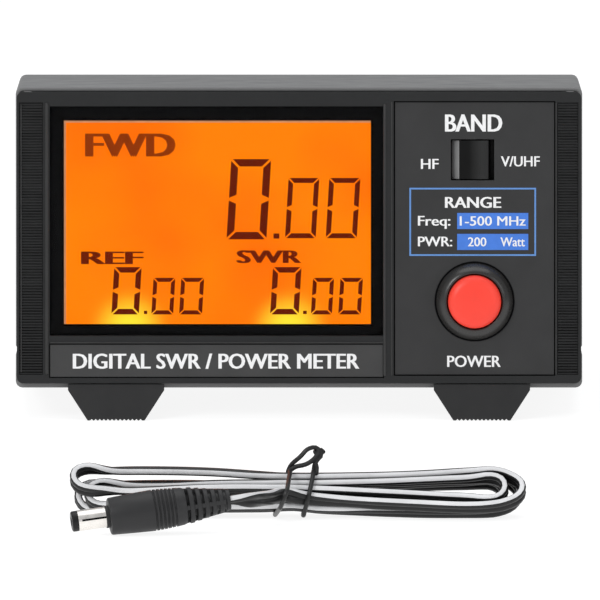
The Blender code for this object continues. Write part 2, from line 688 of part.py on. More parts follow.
def build_socket_shell():
    """A coaxial socket's flanged, bored shell, its mouth towards +Y and its flange at 0."""
    half = FLANGE_SIDE / 2
    flange = outline_plate(rounded(-half, half, -half, half, 2 * MM, 2), 0, FLANGE_THICK)
    barrel = turned([
        (0, SOCKET_LENGTH), (SOCKET_RADIUS - 0.6 * MM, SOCKET_LENGTH),
        (SOCKET_RADIUS, SOCKET_LENGTH - 0.6 * MM), (SOCKET_RADIUS, 1 * MM), (5.8 * MM, 1 * MM),
        (5.8 * MM, -9 * MM), (0, -9 * MM),
    ], steps=24)
    mouth = cylinder(SOCKET_BORE, (0, SOCKET_LENGTH - SOCKET_DEPTH, 0), 20 * MM, "Y")
    through = cylinder(4.3 * MM, (0, -20 * MM, 0), 40 * MM, "Y", 16)
    holes = [
        cylinder(1.7 * MM, (x, -5 * MM, z), 12 * MM, "Y", 8)
        for x in (-9 * MM, 9 * MM)
        for z in (-9 * MM, 9 * MM)
    ]
    return cut(joined(flange, barrel), mouth, through, *holes)


def build_sockets(case):
    """Four coaxial sockets: shell, insulator and centre contact of each."""
    shell = build_socket_shell()
    floor = SOCKET_LENGTH - SOCKET_DEPTH + GAP
    insulator = turned([
        (3.1 * MM, floor + 1.2 * MM), (SOCKET_BORE - GAP, floor + 1.2 * MM),
        (SOCKET_BORE - GAP, floor), (3.9 * MM, floor), (3.9 * MM, -10 * MM), (3.1 * MM, -10 * MM),
    ], steps=16)
    mouth = SOCKET_LENGTH - CONTACT_DEPTH
    contact = turned([
        (2.0 * MM, mouth), (2.8 * MM, mouth), (2.8 * MM, -1.0 * MM), (1.8 * MM, -1.0 * MM),
        (1.8 * MM, -13.5 * MM), (0, -13.5 * MM), (0, 2 * MM), (2.0 * MM, 2 * MM),
    ], steps=16)
    for port, x in SOCKET_X.items():
        place = (x, FLANGE_Y, SOCKET_Z)
        for piece, mesh, slot in (
            ("socket", shell, "nickel"),
            ("insulator", insulator, "white_resin"),
            ("contact", contact, "brass"),
        ):
            smooth(add(f"{port}_{piece}", mesh, slot, case, place))


def build_couplers(case):
    """For each band a tinned box with a lid, around the sensing line between its two sockets."""
    wall = 0.8 * MM
    line_y = FLANGE_Y - 12.4 * MM
    for band, (left, right) in COUPLERS.items():
        area = (left, right, *COUPLER_Z)
        shell = area_box(area, COUPLER_Y)
        hollow = area_box(area, (0, COUPLER_Y[1] - wall), -wall)
        ports = [x for name, x in SOCKET_X.items() if name.startswith(band)]
        holes = [cylinder(6.5 * MM, (x, 80 * MM, SOCKET_Z), 30 * MM, "Y", 16) for x in ports]
        smooth(add(f"{band}_coupler_box", cut(shell, hollow, *holes), "tinned_steel", case))
        lid = area_box(area, (COUPLER_Y[0] - GAP - wall, COUPLER_Y[0] - GAP), -0.5 * MM)
        add(f"{band}_coupler_lid", lid, "tinned_steel", case)

        start, end = min(ports) - 3 * MM, max(ports) + 3 * MM
        bar = box(
            (start, line_y - 7.6 * MM, SOCKET_Z - 3 * MM),
            (end, line_y - 6 * MM, SOCKET_Z + 3 * MM),
        )
        core = turned([
            (6.5 * MM, 5 * MM), (6.5 * MM, -5 * MM), (4.4 * MM, -5 * MM), (4.4 * MM, 5 * MM),
        ][::-1], ((start + end) / 2, line_y - 6.8 * MM, SOCKET_Z), "X", 20)
        smooth(add(f"{band}_sensing_line", joined(bar, carried(core)), "brass", case))


def carried(core):
    """A ring core with the bobbin cheek that carries it on the sensing bar."""
    low = [min(v.co[i] for v in core.vertices) for i in range(3)]
    high = [max(v.co[i] for v in core.vertices) for i in range(3)]
    cheek = box(
        (low[0] + 4 * MM, low[1] + 3 * MM, low[2] + 1 * MM),
        (high[0] - 4 * MM, high[1] - 3 * MM, high[2] - 1 * MM),
    )
    return joined(core, cheek)


def build_boards(case):
    """The main board on its studs, and the ribbon cable up to the display board."""
    low = SHEET / 2 + 6 * MM + GAP
    board = box((-58 * MM, 20 * MM, low), (58 * MM, 62 * MM, low + 1.6 * MM))
    chips = [
        box((x - half, y - half, low + 1 * MM), (x + half, y + half, low + 1.6 * MM + tall))
        for x, y, half, tall in (
            (-20 * MM, 38 * MM, 6 * MM, 1.6 * MM),
            (12 * MM, 34 * MM, 5 * MM, 1.6 * MM),
            (36 * MM, 48 * MM, 4 * MM, 9 * MM),
            (-44 * MM, 50 * MM, 3.5 * MM, 6 * MM),
        )
    ]
    smooth(add("main_board", joined(board, *chips), "board_laminate", case))

    thick = 0.6 * MM
    shelf = low + 1.6 * MM + GAP
    path = [
        (BOARD_Y[1] + GAP, 26 * MM), (BOARD_Y[1] + GAP, 20 * MM), (15 * MM, 14 * MM),
        (19 * MM, shelf + 1.6 * MM), (23 * MM, shelf), (29 * MM, shelf),
    ]
    back = [(y + thick * 0.9, z + thick * 0.7) for y, z in reversed(path)]
    ribbon = outline_plate(path + back, -34 * MM, -30 * MM, "YZ")
    add("ribbon_cable", ribbon, "ribbon_vinyl", case)


def build_jack(case):
    """The power inlet: a bored body behind the rear panel and its centre pin."""
    face = REAR_PANEL_Y[1] + 1.2 * MM
    body = box((-7 * MM, 82 * MM, JACK_Z - 6 * MM), (7 * MM, REAR_PANEL_Y[0] - GAP, JACK_Z + 6 * MM),
               0.4 * MM)
    nose = cylinder(5.0 * MM, (0, 90 * MM, JACK_Z), face - 90 * MM, "Y", 32)
    bore = cylinder(3.1 * MM, (0, face - 9.5 * MM, JACK_Z), 20 * MM, "Y", 24)
    pin_hole = cylinder(1.35 * MM, (0, 70 * MM, JACK_Z), 30 * MM, "Y", 16)
    smooth(add("power_inlet", cut(joined(body, nose), bore, pin_hole), "black_plastic", case))
    pin = turned([
        (0, face - 1.0 * MM), (0.6 * MM, face - 1.0 * MM), (1.05 * MM, face - 1.7 * MM),
        (1.05 * MM, 79 * MM), (0, 79 * MM),
    ], (0, 0, JACK_Z), steps=16)
    smooth(add("power_inlet_pin", pin, "nickel", case))


# ---------------------------------------------------------------- power lead


def build_hank(spot):
    """The outer shape of the folded and tied lead, and the tie that lies in its waist."""
    half_length, half_width = HANK_LENGTH / 2, HANK_WIDTH / 2
    outline = rounded(-half_length, half_length, -half_width, half_width, half_width - 0.1 * MM, 8)
    solid = outline_plate(outline, 0, HANK_HEIGHT, "XY")
    half_groove, depth = TIE_GROOVE[0] / 2, TIE_GROOVE[1]
    groove = cut(
        box((TIE_X - half_groove, -HANK_WIDTH, -HANK_HEIGHT),
            (TIE_X + half_groove, HANK_WIDTH, 2 * HANK_HEIGHT)),
        box((TIE_X - HANK_WIDTH, -half_width + depth, depth),
            (TIE_X + HANK_WIDTH, half_width - depth, HANK_HEIGHT - depth)),
    )
    smooth(add("cord_hank", cut(solid, groove), "cord_vinyl", spot))

    loop = rounded(-half_width + TIE_WIRE, half_width - TIE_WIRE, TIE_WIRE, HANK_HEIGHT - TIE_WIRE,
                   1.2 * MM, 3)
    lean = 0.08  # the tie is pulled a little aslant
    points = [(TIE_X + lean * (z - HANK_HEIGHT / 2), y, z) for y, z in loop]
    smooth(add("cord_tie", wire(points, TIE_WIRE, closed=True, rounding=1), "cord_vinyl", spot))


def build_plug(spot):
    """The power plug: grip with its tapered strain relief, hollow contact barrel and tip ring."""
    heading = PLUG_TIP - PLUG_TAIL
    turn = math.atan2(heading.y, heading.x) - math.pi / 2  # the plug is built pointing to +Y
    plug = empty("plug_place", (*PLUG_TIP, PLUG_TIP_HEIGHT), tilt=-PLUG_RISE, turn=turn)
    plug.parent = spot
    nose, grip_end = -10.0 * MM, -10.0 * MM - PLUG_LENGTH
    radius = PLUG_RADIUS
    grip = turned([
        (0, nose - 3 * MM), (3.0 * MM, nose - 3 * MM), (3.0 * MM, nose),
        (PLUG_NOSE_RADIUS - 0.4 * MM, nose), (PLUG_NOSE_RADIUS, nose - 0.4 * MM),
        (radius, nose - 12 * MM), (radius - 0.3 * MM, nose - 15.5 * MM),
        (radius - 1.3 * MM, nose - 19 * MM), (radius - 2.3 * MM, nose - 24 * MM),
        (2.7 * MM, grip_end), (0, grip_end),
    ], steps=28)
    smooth(add("plug_grip", grip, "cord_vinyl", plug))
    barrel = turned([
        (1.25 * MM, -2.0 * MM), (2.75 * MM, -2.0 * MM), (2.75 * MM, nose - 2.7 * MM),
        (0, nose - 2.7 * MM), (0, nose + 0.3 * MM), (1.25 * MM, nose + 0.3 * MM),
    ], steps=24)
    smooth(add("plug_barrel", barrel, "nickel", plug))
    ring = turned([
        (1.25 * MM, 0), (2.4 * MM, 0), (2.7 * MM, -0.3 * MM),
        (2.7 * MM, -1.7 * MM), (1.25 * MM, -1.7 * MM),
    ], steps=24)
    smooth(add("plug_tip_ring", ring, "black_plastic", plug))


def build_meter():
    case = empty("meter_stance", (0, CASE_Y, CASE_Z), tilt=-TILT)
    build_cover(case)
    build_chassis(case)
    build_cover_screws(case)
    build_bezel(case)
    build_rear_panel(case)
    build_display(case)
    build_plates(case)
    build_rocker(case)
    build_button(case)
    build_tilt_feet(case)
    build_rear_feet(case)
    build_sockets(case)
    build_couplers(case)
    build_boards(case)
    build_jack(case)


def build_lead():
    spot = empty("lead_place", (0, FEET_Y - HANK_AHEAD, 0))
    build_hank(spot)
    build_plug(spot)


build_meter()
build_lead()
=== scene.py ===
"""The looks of the bench SWR and power meter and its tied power lead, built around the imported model.

Pieces on the meter are modelled level, in the meter's own frame: X runs to the right, Y from the
front face into the case and Z up from the case's underside. The lead is modelled on the floor, in
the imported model's frame. All lengths are in metres.
"""

import json
import math

import bmesh
import bpy
import numpy as np
from mathutils import Matrix, Vector


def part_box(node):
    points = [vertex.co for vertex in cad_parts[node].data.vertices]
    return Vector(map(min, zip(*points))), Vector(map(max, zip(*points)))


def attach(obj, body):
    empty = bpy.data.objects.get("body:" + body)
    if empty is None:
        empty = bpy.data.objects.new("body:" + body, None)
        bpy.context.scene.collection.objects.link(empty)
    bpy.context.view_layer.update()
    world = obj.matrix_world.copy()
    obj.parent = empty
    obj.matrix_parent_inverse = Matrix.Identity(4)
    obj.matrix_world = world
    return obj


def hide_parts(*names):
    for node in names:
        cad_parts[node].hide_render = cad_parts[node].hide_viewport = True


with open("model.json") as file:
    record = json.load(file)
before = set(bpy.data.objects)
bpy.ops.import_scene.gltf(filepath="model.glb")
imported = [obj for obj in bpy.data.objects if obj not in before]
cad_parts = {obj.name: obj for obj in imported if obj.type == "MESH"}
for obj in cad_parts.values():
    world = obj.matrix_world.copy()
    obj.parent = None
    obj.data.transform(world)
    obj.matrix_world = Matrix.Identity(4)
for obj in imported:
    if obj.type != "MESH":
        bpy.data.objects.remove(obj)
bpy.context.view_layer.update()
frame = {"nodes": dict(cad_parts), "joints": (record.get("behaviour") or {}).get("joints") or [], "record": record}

MM = 0.001
METER = "meter"
AS_PACKED = Matrix.Identity(4)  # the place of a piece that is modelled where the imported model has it
SKIN = 0.12 * MM  # how far a fitted piece reaches into the surface under it

# ---------------------------------------------------------------- the meter's own frame

JOINTS = {joint["name"]: joint for joint in frame["joints"]}
UP = Vector(JOINTS["band_rocker_tip"]["axis"])
INTO = Vector(JOINTS["power_button_press"]["axis"])
TURN = Matrix((INTO.cross(UP), INTO, UP)).transposed().to_4x4()
ROCKER_PIVOT = Vector((46.85, 5.6, 61.65)) * MM
CASE = Matrix.Translation(Vector(JOINTS["band_rocker_tip"]["pos_m"]) - TURN @ ROCKER_PIVOT) @ TURN
INTO_CASE = CASE.inverted()


class Area:
    """The room that a CAD node takes up in the meter's own frame."""

    def __init__(self, node):
        corners = [INTO_CASE @ vertex.co for vertex in frame["nodes"][node].data.vertices]
        self.left, self.front, self.low = (min(corner[i] for corner in corners) for i in range(3))
        self.right, self.back, self.high = (max(corner[i] for corner in corners) for i in range(3))
        self.x = (self.left + self.right) / 2
        self.z = (self.low + self.high) / 2


BEZEL = Area("front_bezel")
GLASS = Area("lcd_glass")
TITLE = Area("title_plate")
PANEL = Area("control_plate")
RING = Area("power_button_ring")
REAR = Area("rear_panel")

# ---------------------------------------------------------------- camera, floor and light

CAMERA_DISTANCE = 6.5
CAMERA_ABOVE = math.radians(2.6)  # above the front face's own normal
FRAMED_WIDTH = 162.0 * MM  # what the picture spans at the front face
SENSOR = 36.0
AIMED_AT = Vector((0.27, 0.0, 23.8)) * MM
FLOOR_REACH = 30.0  # from the middle to each edge
FLOOR_GREY, FLOOR_GLOW = 0.3, 0.85
ROOM_COLOUR = (0.95, 0.97, 1.0)
ROOM_LIGHT, ROOM_SEEN = 0.45, 1.0  # how bright the room is as a light, and as a background
# Each lamp's name, place, target, diameter and watts.
LAMPS = (
    ("overhead", (0.0, -0.1, 1.5), (0, 0, 0), 1.6, 9),
    ("key", (-1.2, -1.6, 1.2), (0, 0, 0.03), 0.8, 15),
    ("fill", (1.3, -1.7, 0.9), (0, 0, 0.03), 1.0, 5),
)


def make_camera():
    data = bpy.data.cameras.new("camera")
    data.sensor_width = SENSOR
    data.lens = SENSOR * CAMERA_DISTANCE / FRAMED_WIDTH
    data.clip_start = 0.1
    data.clip_end = 4 * CAMERA_DISTANCE
    camera = bpy.data.objects.new("camera", data)
    bpy.context.scene.collection.objects.link(camera)
    look = TURN @ Matrix.Rotation(-CAMERA_ABOVE, 4, "X") @ Vector((0, 1, 0))
    camera.location = CASE @ AIMED_AT - look * CAMERA_DISTANCE
    camera.rotation_mode = "QUATERNION"
    camera.rotation_quaternion = look.to_track_quat("-Z", "Y")
    bpy.context.scene.camera = camera


def make_floor():
    """A wide white light table, which keeps the shadows pale."""
    work = bmesh.new()
    bmesh.ops.create_grid(work, x_segments=1, y_segments=1, size=FLOOR_REACH)
    mesh = bpy.data.meshes.new("floor")
    work.to_mesh(mesh)
    work.free()
    floor = bpy.data.objects.new("floor", mesh)
    bpy.context.scene.collection.objects.link(floor)
    material = bpy.data.materials.new("floor")
    material.use_nodes = True
    shader = material.node_tree.nodes["Principled BSDF"]
    shader.inputs["Base Color"].default_value = (FLOOR_GREY, FLOOR_GREY, FLOOR_GREY, 1)
    shader.inputs["Roughness"].default_value = 0.8
    shader.inputs["Specular IOR Level"].default_value = 0.0
    shader.inputs["Emission Color"].default_value = (1, 1, 1, 1)
    shader.inputs["Emission Strength"].default_value = FLOOR_GLOW
    mesh.materials.append(material)


def area_light(name, place, target, size, power):
    data = bpy.data.lights.new(name, "AREA")
    data.shape = "DISK"
    data.size = size
    data.energy = power
    light = bpy.data.objects.new(name, data)
    bpy.context.scene.collection.objects.link(light)
    light.location = place
    light.rotation_mode = "QUATERNION"
    light.rotation_quaternion = (Vector(target) - Vector(place)).to_track_quat("-Z", "Y")


def make_light():
    """A pale room and three soft lamps: overhead, front left and front right."""
    world = bpy.data.worlds.new("studio")
    bpy.context.scene.world = world
    world.use_nodes = True
    tree = world.node_tree
    sky = tree.nodes["Background"]
    sky.inputs["Color"].default_value = (*ROOM_COLOUR, 1)
    seen = tree.nodes.new("ShaderNodeMapRange")
    seen.inputs["To Min"].default_value = ROOM_LIGHT
    seen.inputs["To Max"].default_value = ROOM_SEEN
    path = tree.nodes.new("ShaderNodeLightPath")
    tree.links.new(path.outputs["Is Camera Ray"], seen.inputs["Value"])
    tree.links.new(seen.outputs["Result"], sky.inputs["Strength"])
    for lamp in LAMPS:
        area_light(*lamp)
    bpy.context.scene.view_settings.view_transform = "Standard"


make_camera()
make_floor()
make_light()

# ---------------------------------------------------------------- materials


class Finish:
    """A Principled material whose colour, roughness and surface vary over the piece."""

    def __init__(self, name, colour, roughness, metallic=0.0, specular=0.5):
        self.material = bpy.data.materials.new(name)
        self.material.use_nodes = True
        self.tree = self.material.node_tree
        self.shader = self.tree.nodes["Principled BSDF"]
        self.colour = colour
        self.base = None
        self.roughness = roughness
        self.shader.inputs["Base Color"].default_value = (*colour, 1)
        self.shader.inputs["Roughness"].default_value = roughness
        self.shader.inputs["Metallic"].default_value = metallic
        self.shader.inputs["Specular IOR Level"].default_value = specular
        self.place = self.node("ShaderNodeTexCoord").outputs["Object"]
        self.rounding = None

    def node(self, kind, **values):
        """A new node with its properties set."""
        made = self.tree.nodes.new(kind)
        for name, value in values.items():
            setattr(made, name, value)
        return made

    def join(self, output, target):
        self.tree.links.new(output, target)

    def noise(self, scale, detail=3.0, stretch=(1, 1, 1)):
        """Noise with scale features a metre, stretched along an axis where its factor is small."""
        mapping = self.node("ShaderNodeMapping")
        mapping.inputs["Scale"].default_value = stretch
        self.join(self.place, mapping.inputs["Vector"])
        texture = self.node("ShaderNodeTexNoise")
        texture.inputs["Scale"].default_value = scale
        texture.inputs["Detail"].default_value = detail
        self.join(mapping.outputs["Vector"], texture.inputs["Vector"])
        return texture.outputs["Fac"]

    def spread(self, value, low, high, start=0.3, end=0.7):
        """The value, remapped from start..end to low..high."""
        mapped = self.node("ShaderNodeMapRange")
        mapped.inputs["From Min"].default_value = start
        mapped.inputs["From Max"].default_value = end
        mapped.inputs["To Min"].default_value = low
        mapped.inputs["To Max"].default_value = high
        self.join(value, mapped.inputs["Value"])
        return mapped.outputs["Result"]

    def mixed(self, factor, one, two):
        """A colour between two others; each is a plain colour or a node's output."""
        mix = self.node("ShaderNodeMix", data_type="RGBA")
        self.join(factor, mix.inputs["Factor"])
        for colour, socket in ((one, mix.inputs["A"]), (two, mix.inputs["B"])):
            if isinstance(colour, (tuple, list)):
                socket.default_value = (*colour, 1)
            else:
                self.join(colour, socket)
        return mix.outputs["Result"]

    def mottled(self, scale, amount, detail=3.0, stretch=(1, 1, 1)):
        """The colour, darker and lighter by the amount in patches."""
        dark = tuple(channel * (1 - amount) for channel in self.colour)
        light = tuple(min(1.0, channel * (1 + amount)) for channel in self.colour)
        factor = self.spread(self.noise(scale, detail, stretch), 0.0, 1.0)
        self.base = self.mixed(factor, dark, light)
        self.join(self.base, self.shader.inputs["Base Color"])
        return self

    def uneven(self, scale, amount, stretch=(1, 1, 1)):
        """Roughness that differs by the amount from place to place."""
        patches = self.noise(scale, 4.0, stretch)
        rough = self.spread(patches, self.roughness - amount, self.roughness + amount)
        self.join(rough, self.shader.inputs["Roughness"])
        return self

    def rounded(self, radius):
        """Shading that turns smoothly over edges, so that they catch the light."""
        bevel = self.node("ShaderNodeBevel", samples=4)
        bevel.inputs["Radius"].default_value = radius
        self.rounding = bevel.outputs["Normal"]
        self.join(self.rounding, self.shader.inputs["Normal"])
        return self

    def grained(self, scale, depth, detail=2.0, stretch=(1, 1, 1)):
        """A fine bump, depth metres high."""
        bump = self.node("ShaderNodeBump")
        bump.inputs["Strength"].default_value = 1.0
        bump.inputs["Distance"].default_value = depth
        self.join(self.noise(scale, detail, stretch), bump.inputs["Height"])
        if self.rounding is not None:
            self.join(self.rounding, bump.inputs["Normal"])
        self.rounding = bump.outputs["Normal"]
        self.join(self.rounding, self.shader.inputs["Normal"])
        return self

    def painted_edge_highlight(self, radius, colour, amount, scale=400.0):
        """Edges painted another colour in broken stretches: a painted highlight where they would catch the light.
        """
        bevel = self.node("ShaderNodeBevel", samples=4)
        bevel.inputs["Radius"].default_value = radius
        flat = self.node("ShaderNodeNewGeometry").outputs["Normal"]
        dot = self.node("ShaderNodeVectorMath", operation="DOT_PRODUCT")
        self.join(bevel.outputs["Normal"], dot.inputs[0])
        self.join(flat, dot.inputs[1])
        edge = self.spread(dot.outputs["Value"], amount, 0.0, 0.80, 0.995)
        broken = self.spread(self.noise(scale, 4.0), 0.2, 1.0)
        both = self.node("ShaderNodeMath", operation="MULTIPLY")
        self.join(edge, both.inputs[0])
        self.join(broken, both.inputs[1])
        under = self.base if self.base is not None else self.colour
        self.base = self.mixed(both.outputs["Value"], under, colour)
        self.join(self.base, self.shader.inputs["Base Color"])
        return self


def plastic(name, colour, roughness, grain=0.006 * MM, specular=0.3, edge=0.0):
    """Moulded plastic with a fine spark-eroded texture."""
    made = Finish(name, colour, roughness, specular=specular)
    made.mottled(90, 0.10).uneven(260, 0.06)
    # With an edge amount, the edges are painted lighter as a highlight where they would catch the light.
    if edge:
        lighter = tuple(min(1.0, channel * 2.4 + 0.02) for channel in colour)
        made.painted_edge_highlight(0.35 * MM, lighter, edge)
    return made.rounded(0.25 * MM).grained(2600, grain).material


def painted(name, colour, roughness):
    """Powder coat: a fine orange peel, faint dust and edges painted lighter as a highlight."""
    made = Finish(name, colour, roughness, specular=0.4)
    lighter = tuple(min(1.0, channel * 1.7) for channel in colour)
    made.mottled(30, 0.05, 5.0).painted_edge_highlight(0.5 * MM, lighter, 0.5).uneven(120, 0.07)
    return made.rounded(0.4 * MM).grained(1500, 0.012 * MM, 3.0).material


def plated(name, colour, roughness, stretch=(1, 1, 1)):
    """Plated or turned metal with fine tool marks and uneven polish."""
    made = Finish(name, colour, roughness, metallic=1.0)
    made.mottled(150, 0.08, 4.0).uneven(500, 0.08, stretch)
    return made.rounded(0.15 * MM).grained(1800, 0.003 * MM, 2.0, stretch).material


def ink(name, colour):
    """Screen-printed ink, a little uneven."""
    made = Finish(name, colour, 0.45, specular=0.3)
    return made.mottled(700, 0.04).grained(4000, 0.002 * MM).material


AMBER, PALE_AMBER, LAMP_YELLOW = (1.0, 0.150, 0.0), (1.0, 0.215, 0.0), (1.0, 0.83, 0.04)
LAMP_GLOW = 13.0 * MM  # how far each lamp's glow reaches


def lamp_colours(finish, places):
    """The lit display's colour: amber, patchier to the sides, yellow over each backlight lamp."""
    local = finish.node("ShaderNodeMapping")
    local.inputs["Location"].default_value = INTO_CASE.to_translation()
    local.inputs["Rotation"].default_value = INTO_CASE.to_euler()
    finish.join(finish.place, local.inputs["Vector"])
    patches = finish.spread(finish.noise(26, 2.0), 0.0, 1.0, 0.38, 0.62)
    colour = finish.mixed(patches, AMBER, PALE_AMBER)
    for place in places:
        away = finish.node("ShaderNodeVectorMath", operation="DISTANCE")
        finish.join(local.outputs["Vector"], away.inputs[0])
        away.inputs[1].default_value = place
        glow = finish.node("ShaderNodeMapRange", interpolation_type="SMOOTHERSTEP")
        glow.inputs["From Min"].default_value = 0.0
        glow.inputs["From Max"].default_value = LAMP_GLOW
        glow.inputs["To Min"].default_value = 1.0
        glow.inputs["To Max"].default_value = 0.0
        finish.join(away.outputs["Value"], glow.inputs["Value"])
        colour = finish.mixed(glow.outputs["Result"], colour, LAMP_YELLOW)
    return colour


ACTIVE_MARGIN = 2.0 * MM  # the glass's unlit margin
LIT_LEFT, LIT_RIGHT = GLASS.left + ACTIVE_MARGIN, GLASS.right - ACTIVE_MARGIN
LIT_LOW, LIT_HIGH = GLASS.low + ACTIVE_MARGIN, GLASS.high - ACTIVE_MARGIN


def display_amber():
    """The lit display, which glows in its own light."""
    finish = Finish("display_amber", (0.10, 0.02, 0.0), 0.4, specular=0.03)
    lamps = [Area(f"{side}_backlight_led") for side in ("left", "right")]
    colour = lamp_colours(finish, [(lamp.x, GLASS.front, LIT_LOW - 1.5 * MM) for lamp in lamps])
    finish.join(colour, finish.shader.inputs["Emission Color"])
    finish.shader.inputs["Emission Strength"].default_value = 1.0
    return finish.mottled(300, 0.1).material


def display_dark(name, glow):
    """A dark display segment, which lets a little of the light behind it through."""
    finish = Finish(name, (0.02, 0.004, 0.001), 0.45, specular=0.03)
    shade = tuple(channel * 0.8 for channel in glow)
    colour = finish.mixed(finish.spread(finish.noise(500), 0.0, 1.0), shade, glow)
    finish.join(colour, finish.shader.inputs["Emission Color"])
    finish.shader.inputs["Emission Strength"].default_value = 1.0
    return finish.mottled(300, 0.1).material


def clear_acrylic():
    """The display's window, with little reflection."""
    finish = Finish("clear_acrylic", (1.0, 1.0, 1.0), 0.02, specular=0.2)
    finish.shader.inputs["Transmission Weight"].default_value = 1.0
    finish.shader.inputs["IOR"].default_value = 1.12
    return finish.uneven(300, 0.015).material


def rocker_painted_sheen():
    """Glossy black, painted grey towards the rocker's right half: a painted reflection."""
    finish = Finish("rocker_plastic", (0.004, 0.004, 0.004), 0.34, specular=0.15)
    # Painted reflection: black at the pivot, grey from 3.4 mm to its right.
    apart = finish.node("ShaderNodeSeparateXYZ")
    finish.join(finish.place, apart.inputs["Vector"])
    across = finish.spread(apart.outputs["X"], 0.0, 1.0, 0.0, 3.4 * MM)
    finish.base = finish.mixed(across, finish.colour, (0.026, 0.026, 0.026))
    finish.join(finish.base, finish.shader.inputs["Base Color"])
    return finish.uneven(260, 0.06).grained(2600, 0.003 * MM).material


def button_red():
    """Slightly translucent red plastic."""
    finish = Finish("button_red", (0.98, 0.062, 0.038), 0.4, specular=0.35)
    finish.shader.inputs["Subsurface Weight"].default_value = 0.15
    finish.shader.inputs["Subsurface Radius"].default_value = (0.002, 0.0006, 0.0004)
    return finish.mottled(200, 0.04).uneven(300, 0.06).grained(2200, 0.004 * MM).material


FINISH = {
    "cover_paint": painted("cover_paint", (0.185, 0.185, 0.185), 0.5),
    "bezel_plastic": plastic("bezel_plastic", (0.0125, 0.013, 0.0135), 0.55, edge=0.2),
    "rib_plastic": plastic("rib_plastic", (0.014, 0.0142, 0.0145), 0.6, edge=0.35),
    # A lighter copy of the bezel's black: a painted highlight on the front face's beads and rail.
    "ridge_plastic": plastic("ridge_plastic", (0.030, 0.030, 0.030), 0.5, edge=0.3),
    "panel_plastic": plastic("panel_plastic", (0.030, 0.030, 0.0305), 0.5, edge=0.2),
    "title_plastic": plastic("title_plastic", (0.046, 0.046, 0.046), 0.5, edge=0.2),
    "foot_plastic": plastic("foot_plastic", (0.019, 0.019, 0.0195), 0.6, edge=0.25),
    "black_plastic": plastic("black_plastic", (0.006, 0.006, 0.006), 0.35, 0.003 * MM, 0.3),
    "rocker_plastic": rocker_painted_sheen(),
    # A pale grey that paints the highlight on the rocker's left end.
    "rocker_edge": plastic("rocker_edge", (0.21, 0.21, 0.21), 0.4, 0.003 * MM, 0.4),
    "ring_plastic": plastic("ring_plastic", (0.018, 0.017, 0.016), 0.28, 0.003 * MM, 0.6),
    "mask_black": plastic("mask_black", (0.0015, 0.0015, 0.002), 0.6, 0.002 * MM, 0.05),
    "red_plastic": button_red(),
    "window_acrylic": clear_acrylic(),
    "lcd_glass": display_amber(),
    "lcd_segment": display_dark("lcd_segment", (0.125, 0.007, 0.0)),
    "lcd_caption": display_dark("lcd_caption", (0.28, 0.034, 0.0)),
    "lcd_caption_dark": display_dark("lcd_caption_dark", (0.15, 0.010, 0.0)),
    "lcd_edge": display_dark("lcd_edge", (0.62, 0.27, 0.13)),
    "diffuser_acrylic": plastic("diffuser_acrylic", (0.85, 0.5, 0.2), 0.5),
    "led_resin": plastic("led_resin", (0.9, 0.7, 0.2), 0.25),
    "board_laminate": plastic("board_laminate", (0.015, 0.10, 0.03), 0.4),
    "tinned_steel": plated("tinned_steel", (0.62, 0.62, 0.60), 0.35),
    "nickel": plated("nickel", (0.70, 0.68, 0.63), 0.26),
    "plug_nickel": plated("plug_nickel", (0.84, 0.81, 0.77), 0.30, (1, 1, 0.15)),
    "brass": plated("brass", (0.78, 0.56, 0.24), 0.28),
    "screw_steel": plated("screw_steel", (0.56, 0.56, 0.55), 0.3),
    "white_resin": plastic("white_resin", (0.80, 0.79, 0.74), 0.4),
    "rubber": plastic("rubber", (0.016, 0.016, 0.016), 0.8, 0.02 * MM, 0.2),
    "cord_vinyl": plastic("cord_vinyl", (0.010, 0.010, 0.0105), 0.36, 0.004 * MM, 0.35),
    "cord_stripe": plastic("cord_stripe", (0.72, 0.72, 0.73), 0.4, 0.004 * MM, 0.4),
    "plug_vinyl": plastic("plug_vinyl", (0.026, 0.026, 0.027), 0.48, 0.008 * MM, 0.3),
    "tie_vinyl": plastic("tie_vinyl", (0.010, 0.010, 0.010), 0.38, 0.006 * MM, 0.4),
    "ribbon_vinyl": plastic("ribbon_vinyl", (0.45, 0.45, 0.46), 0.5),
    "white_ink": ink("white_ink", (0.84, 0.84, 0.84)),
    "blue_ink": ink("blue_ink", (0.062, 0.20, 0.68)),
    "line_ink": ink("line_ink", (0.12, 0.27, 0.60)),
}

# ---------------------------------------------------------------- building blocks


def bare_mesh(work):
    """The mesh made in work."""
    mesh = bpy.data.meshes.new("mesh")
    work.to_mesh(mesh)
    work.free()
    return mesh


def print_mesh(work):
    """The mesh made in work, shaded flat."""
    mesh = bare_mesh(work)
    mesh.shade_flat()
    return mesh


def mesh_of(work, smooth_angle=35):
    """The mesh made in work, smooth but for its edges sharper than the angle."""
    bmesh.ops.recalc_face_normals(work, faces=work.faces)
    mesh = bare_mesh(work)
    mesh.shade_smooth()
    mesh.set_sharp_from_angle(angle=math.radians(smooth_angle))
    return mesh


def show(name, mesh, finish, body=METER, place=CASE, stands_for=()):
    """A piece of the model that rides on a body."""
    made = bpy.data.objects.new(name, mesh)
    bpy.context.scene.collection.objects.link(made)
    for one in [finish] if isinstance(finish, str) else finish:
        mesh.materials.append(FINISH[one])
    made.matrix_world = place
    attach(made, body)
    if stands_for:
        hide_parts(*stands_for)
    return made


def prism(work, outline, start, end, along="Y"):
    """A flat outline pushed out from start to end. It is drawn in (x, z) for Y, (y, z) for X and
    (x, y) for Z."""
    def corner(one, two, depth):
        return {"X": (depth, one, two), "Y": (one, depth, two), "Z": (one, two, depth)}[along]

    near = [work.verts.new(corner(*point, start)) for point in outline]
    far = [work.verts.new(corner(*point, end)) for point in outline]
    count = len(outline)
    faces = [work.faces.new(near), work.faces.new(far[::-1])]
    for i in range(count):
        j = (i + 1) % count
        faces.append(work.faces.new((near[i], far[i], far[j], near[j])))
    return faces


def slab(work, left, right, low, high, front, back):
    return prism(work, [(left, low), (right, low), (right, high), (left, high)], front, back)


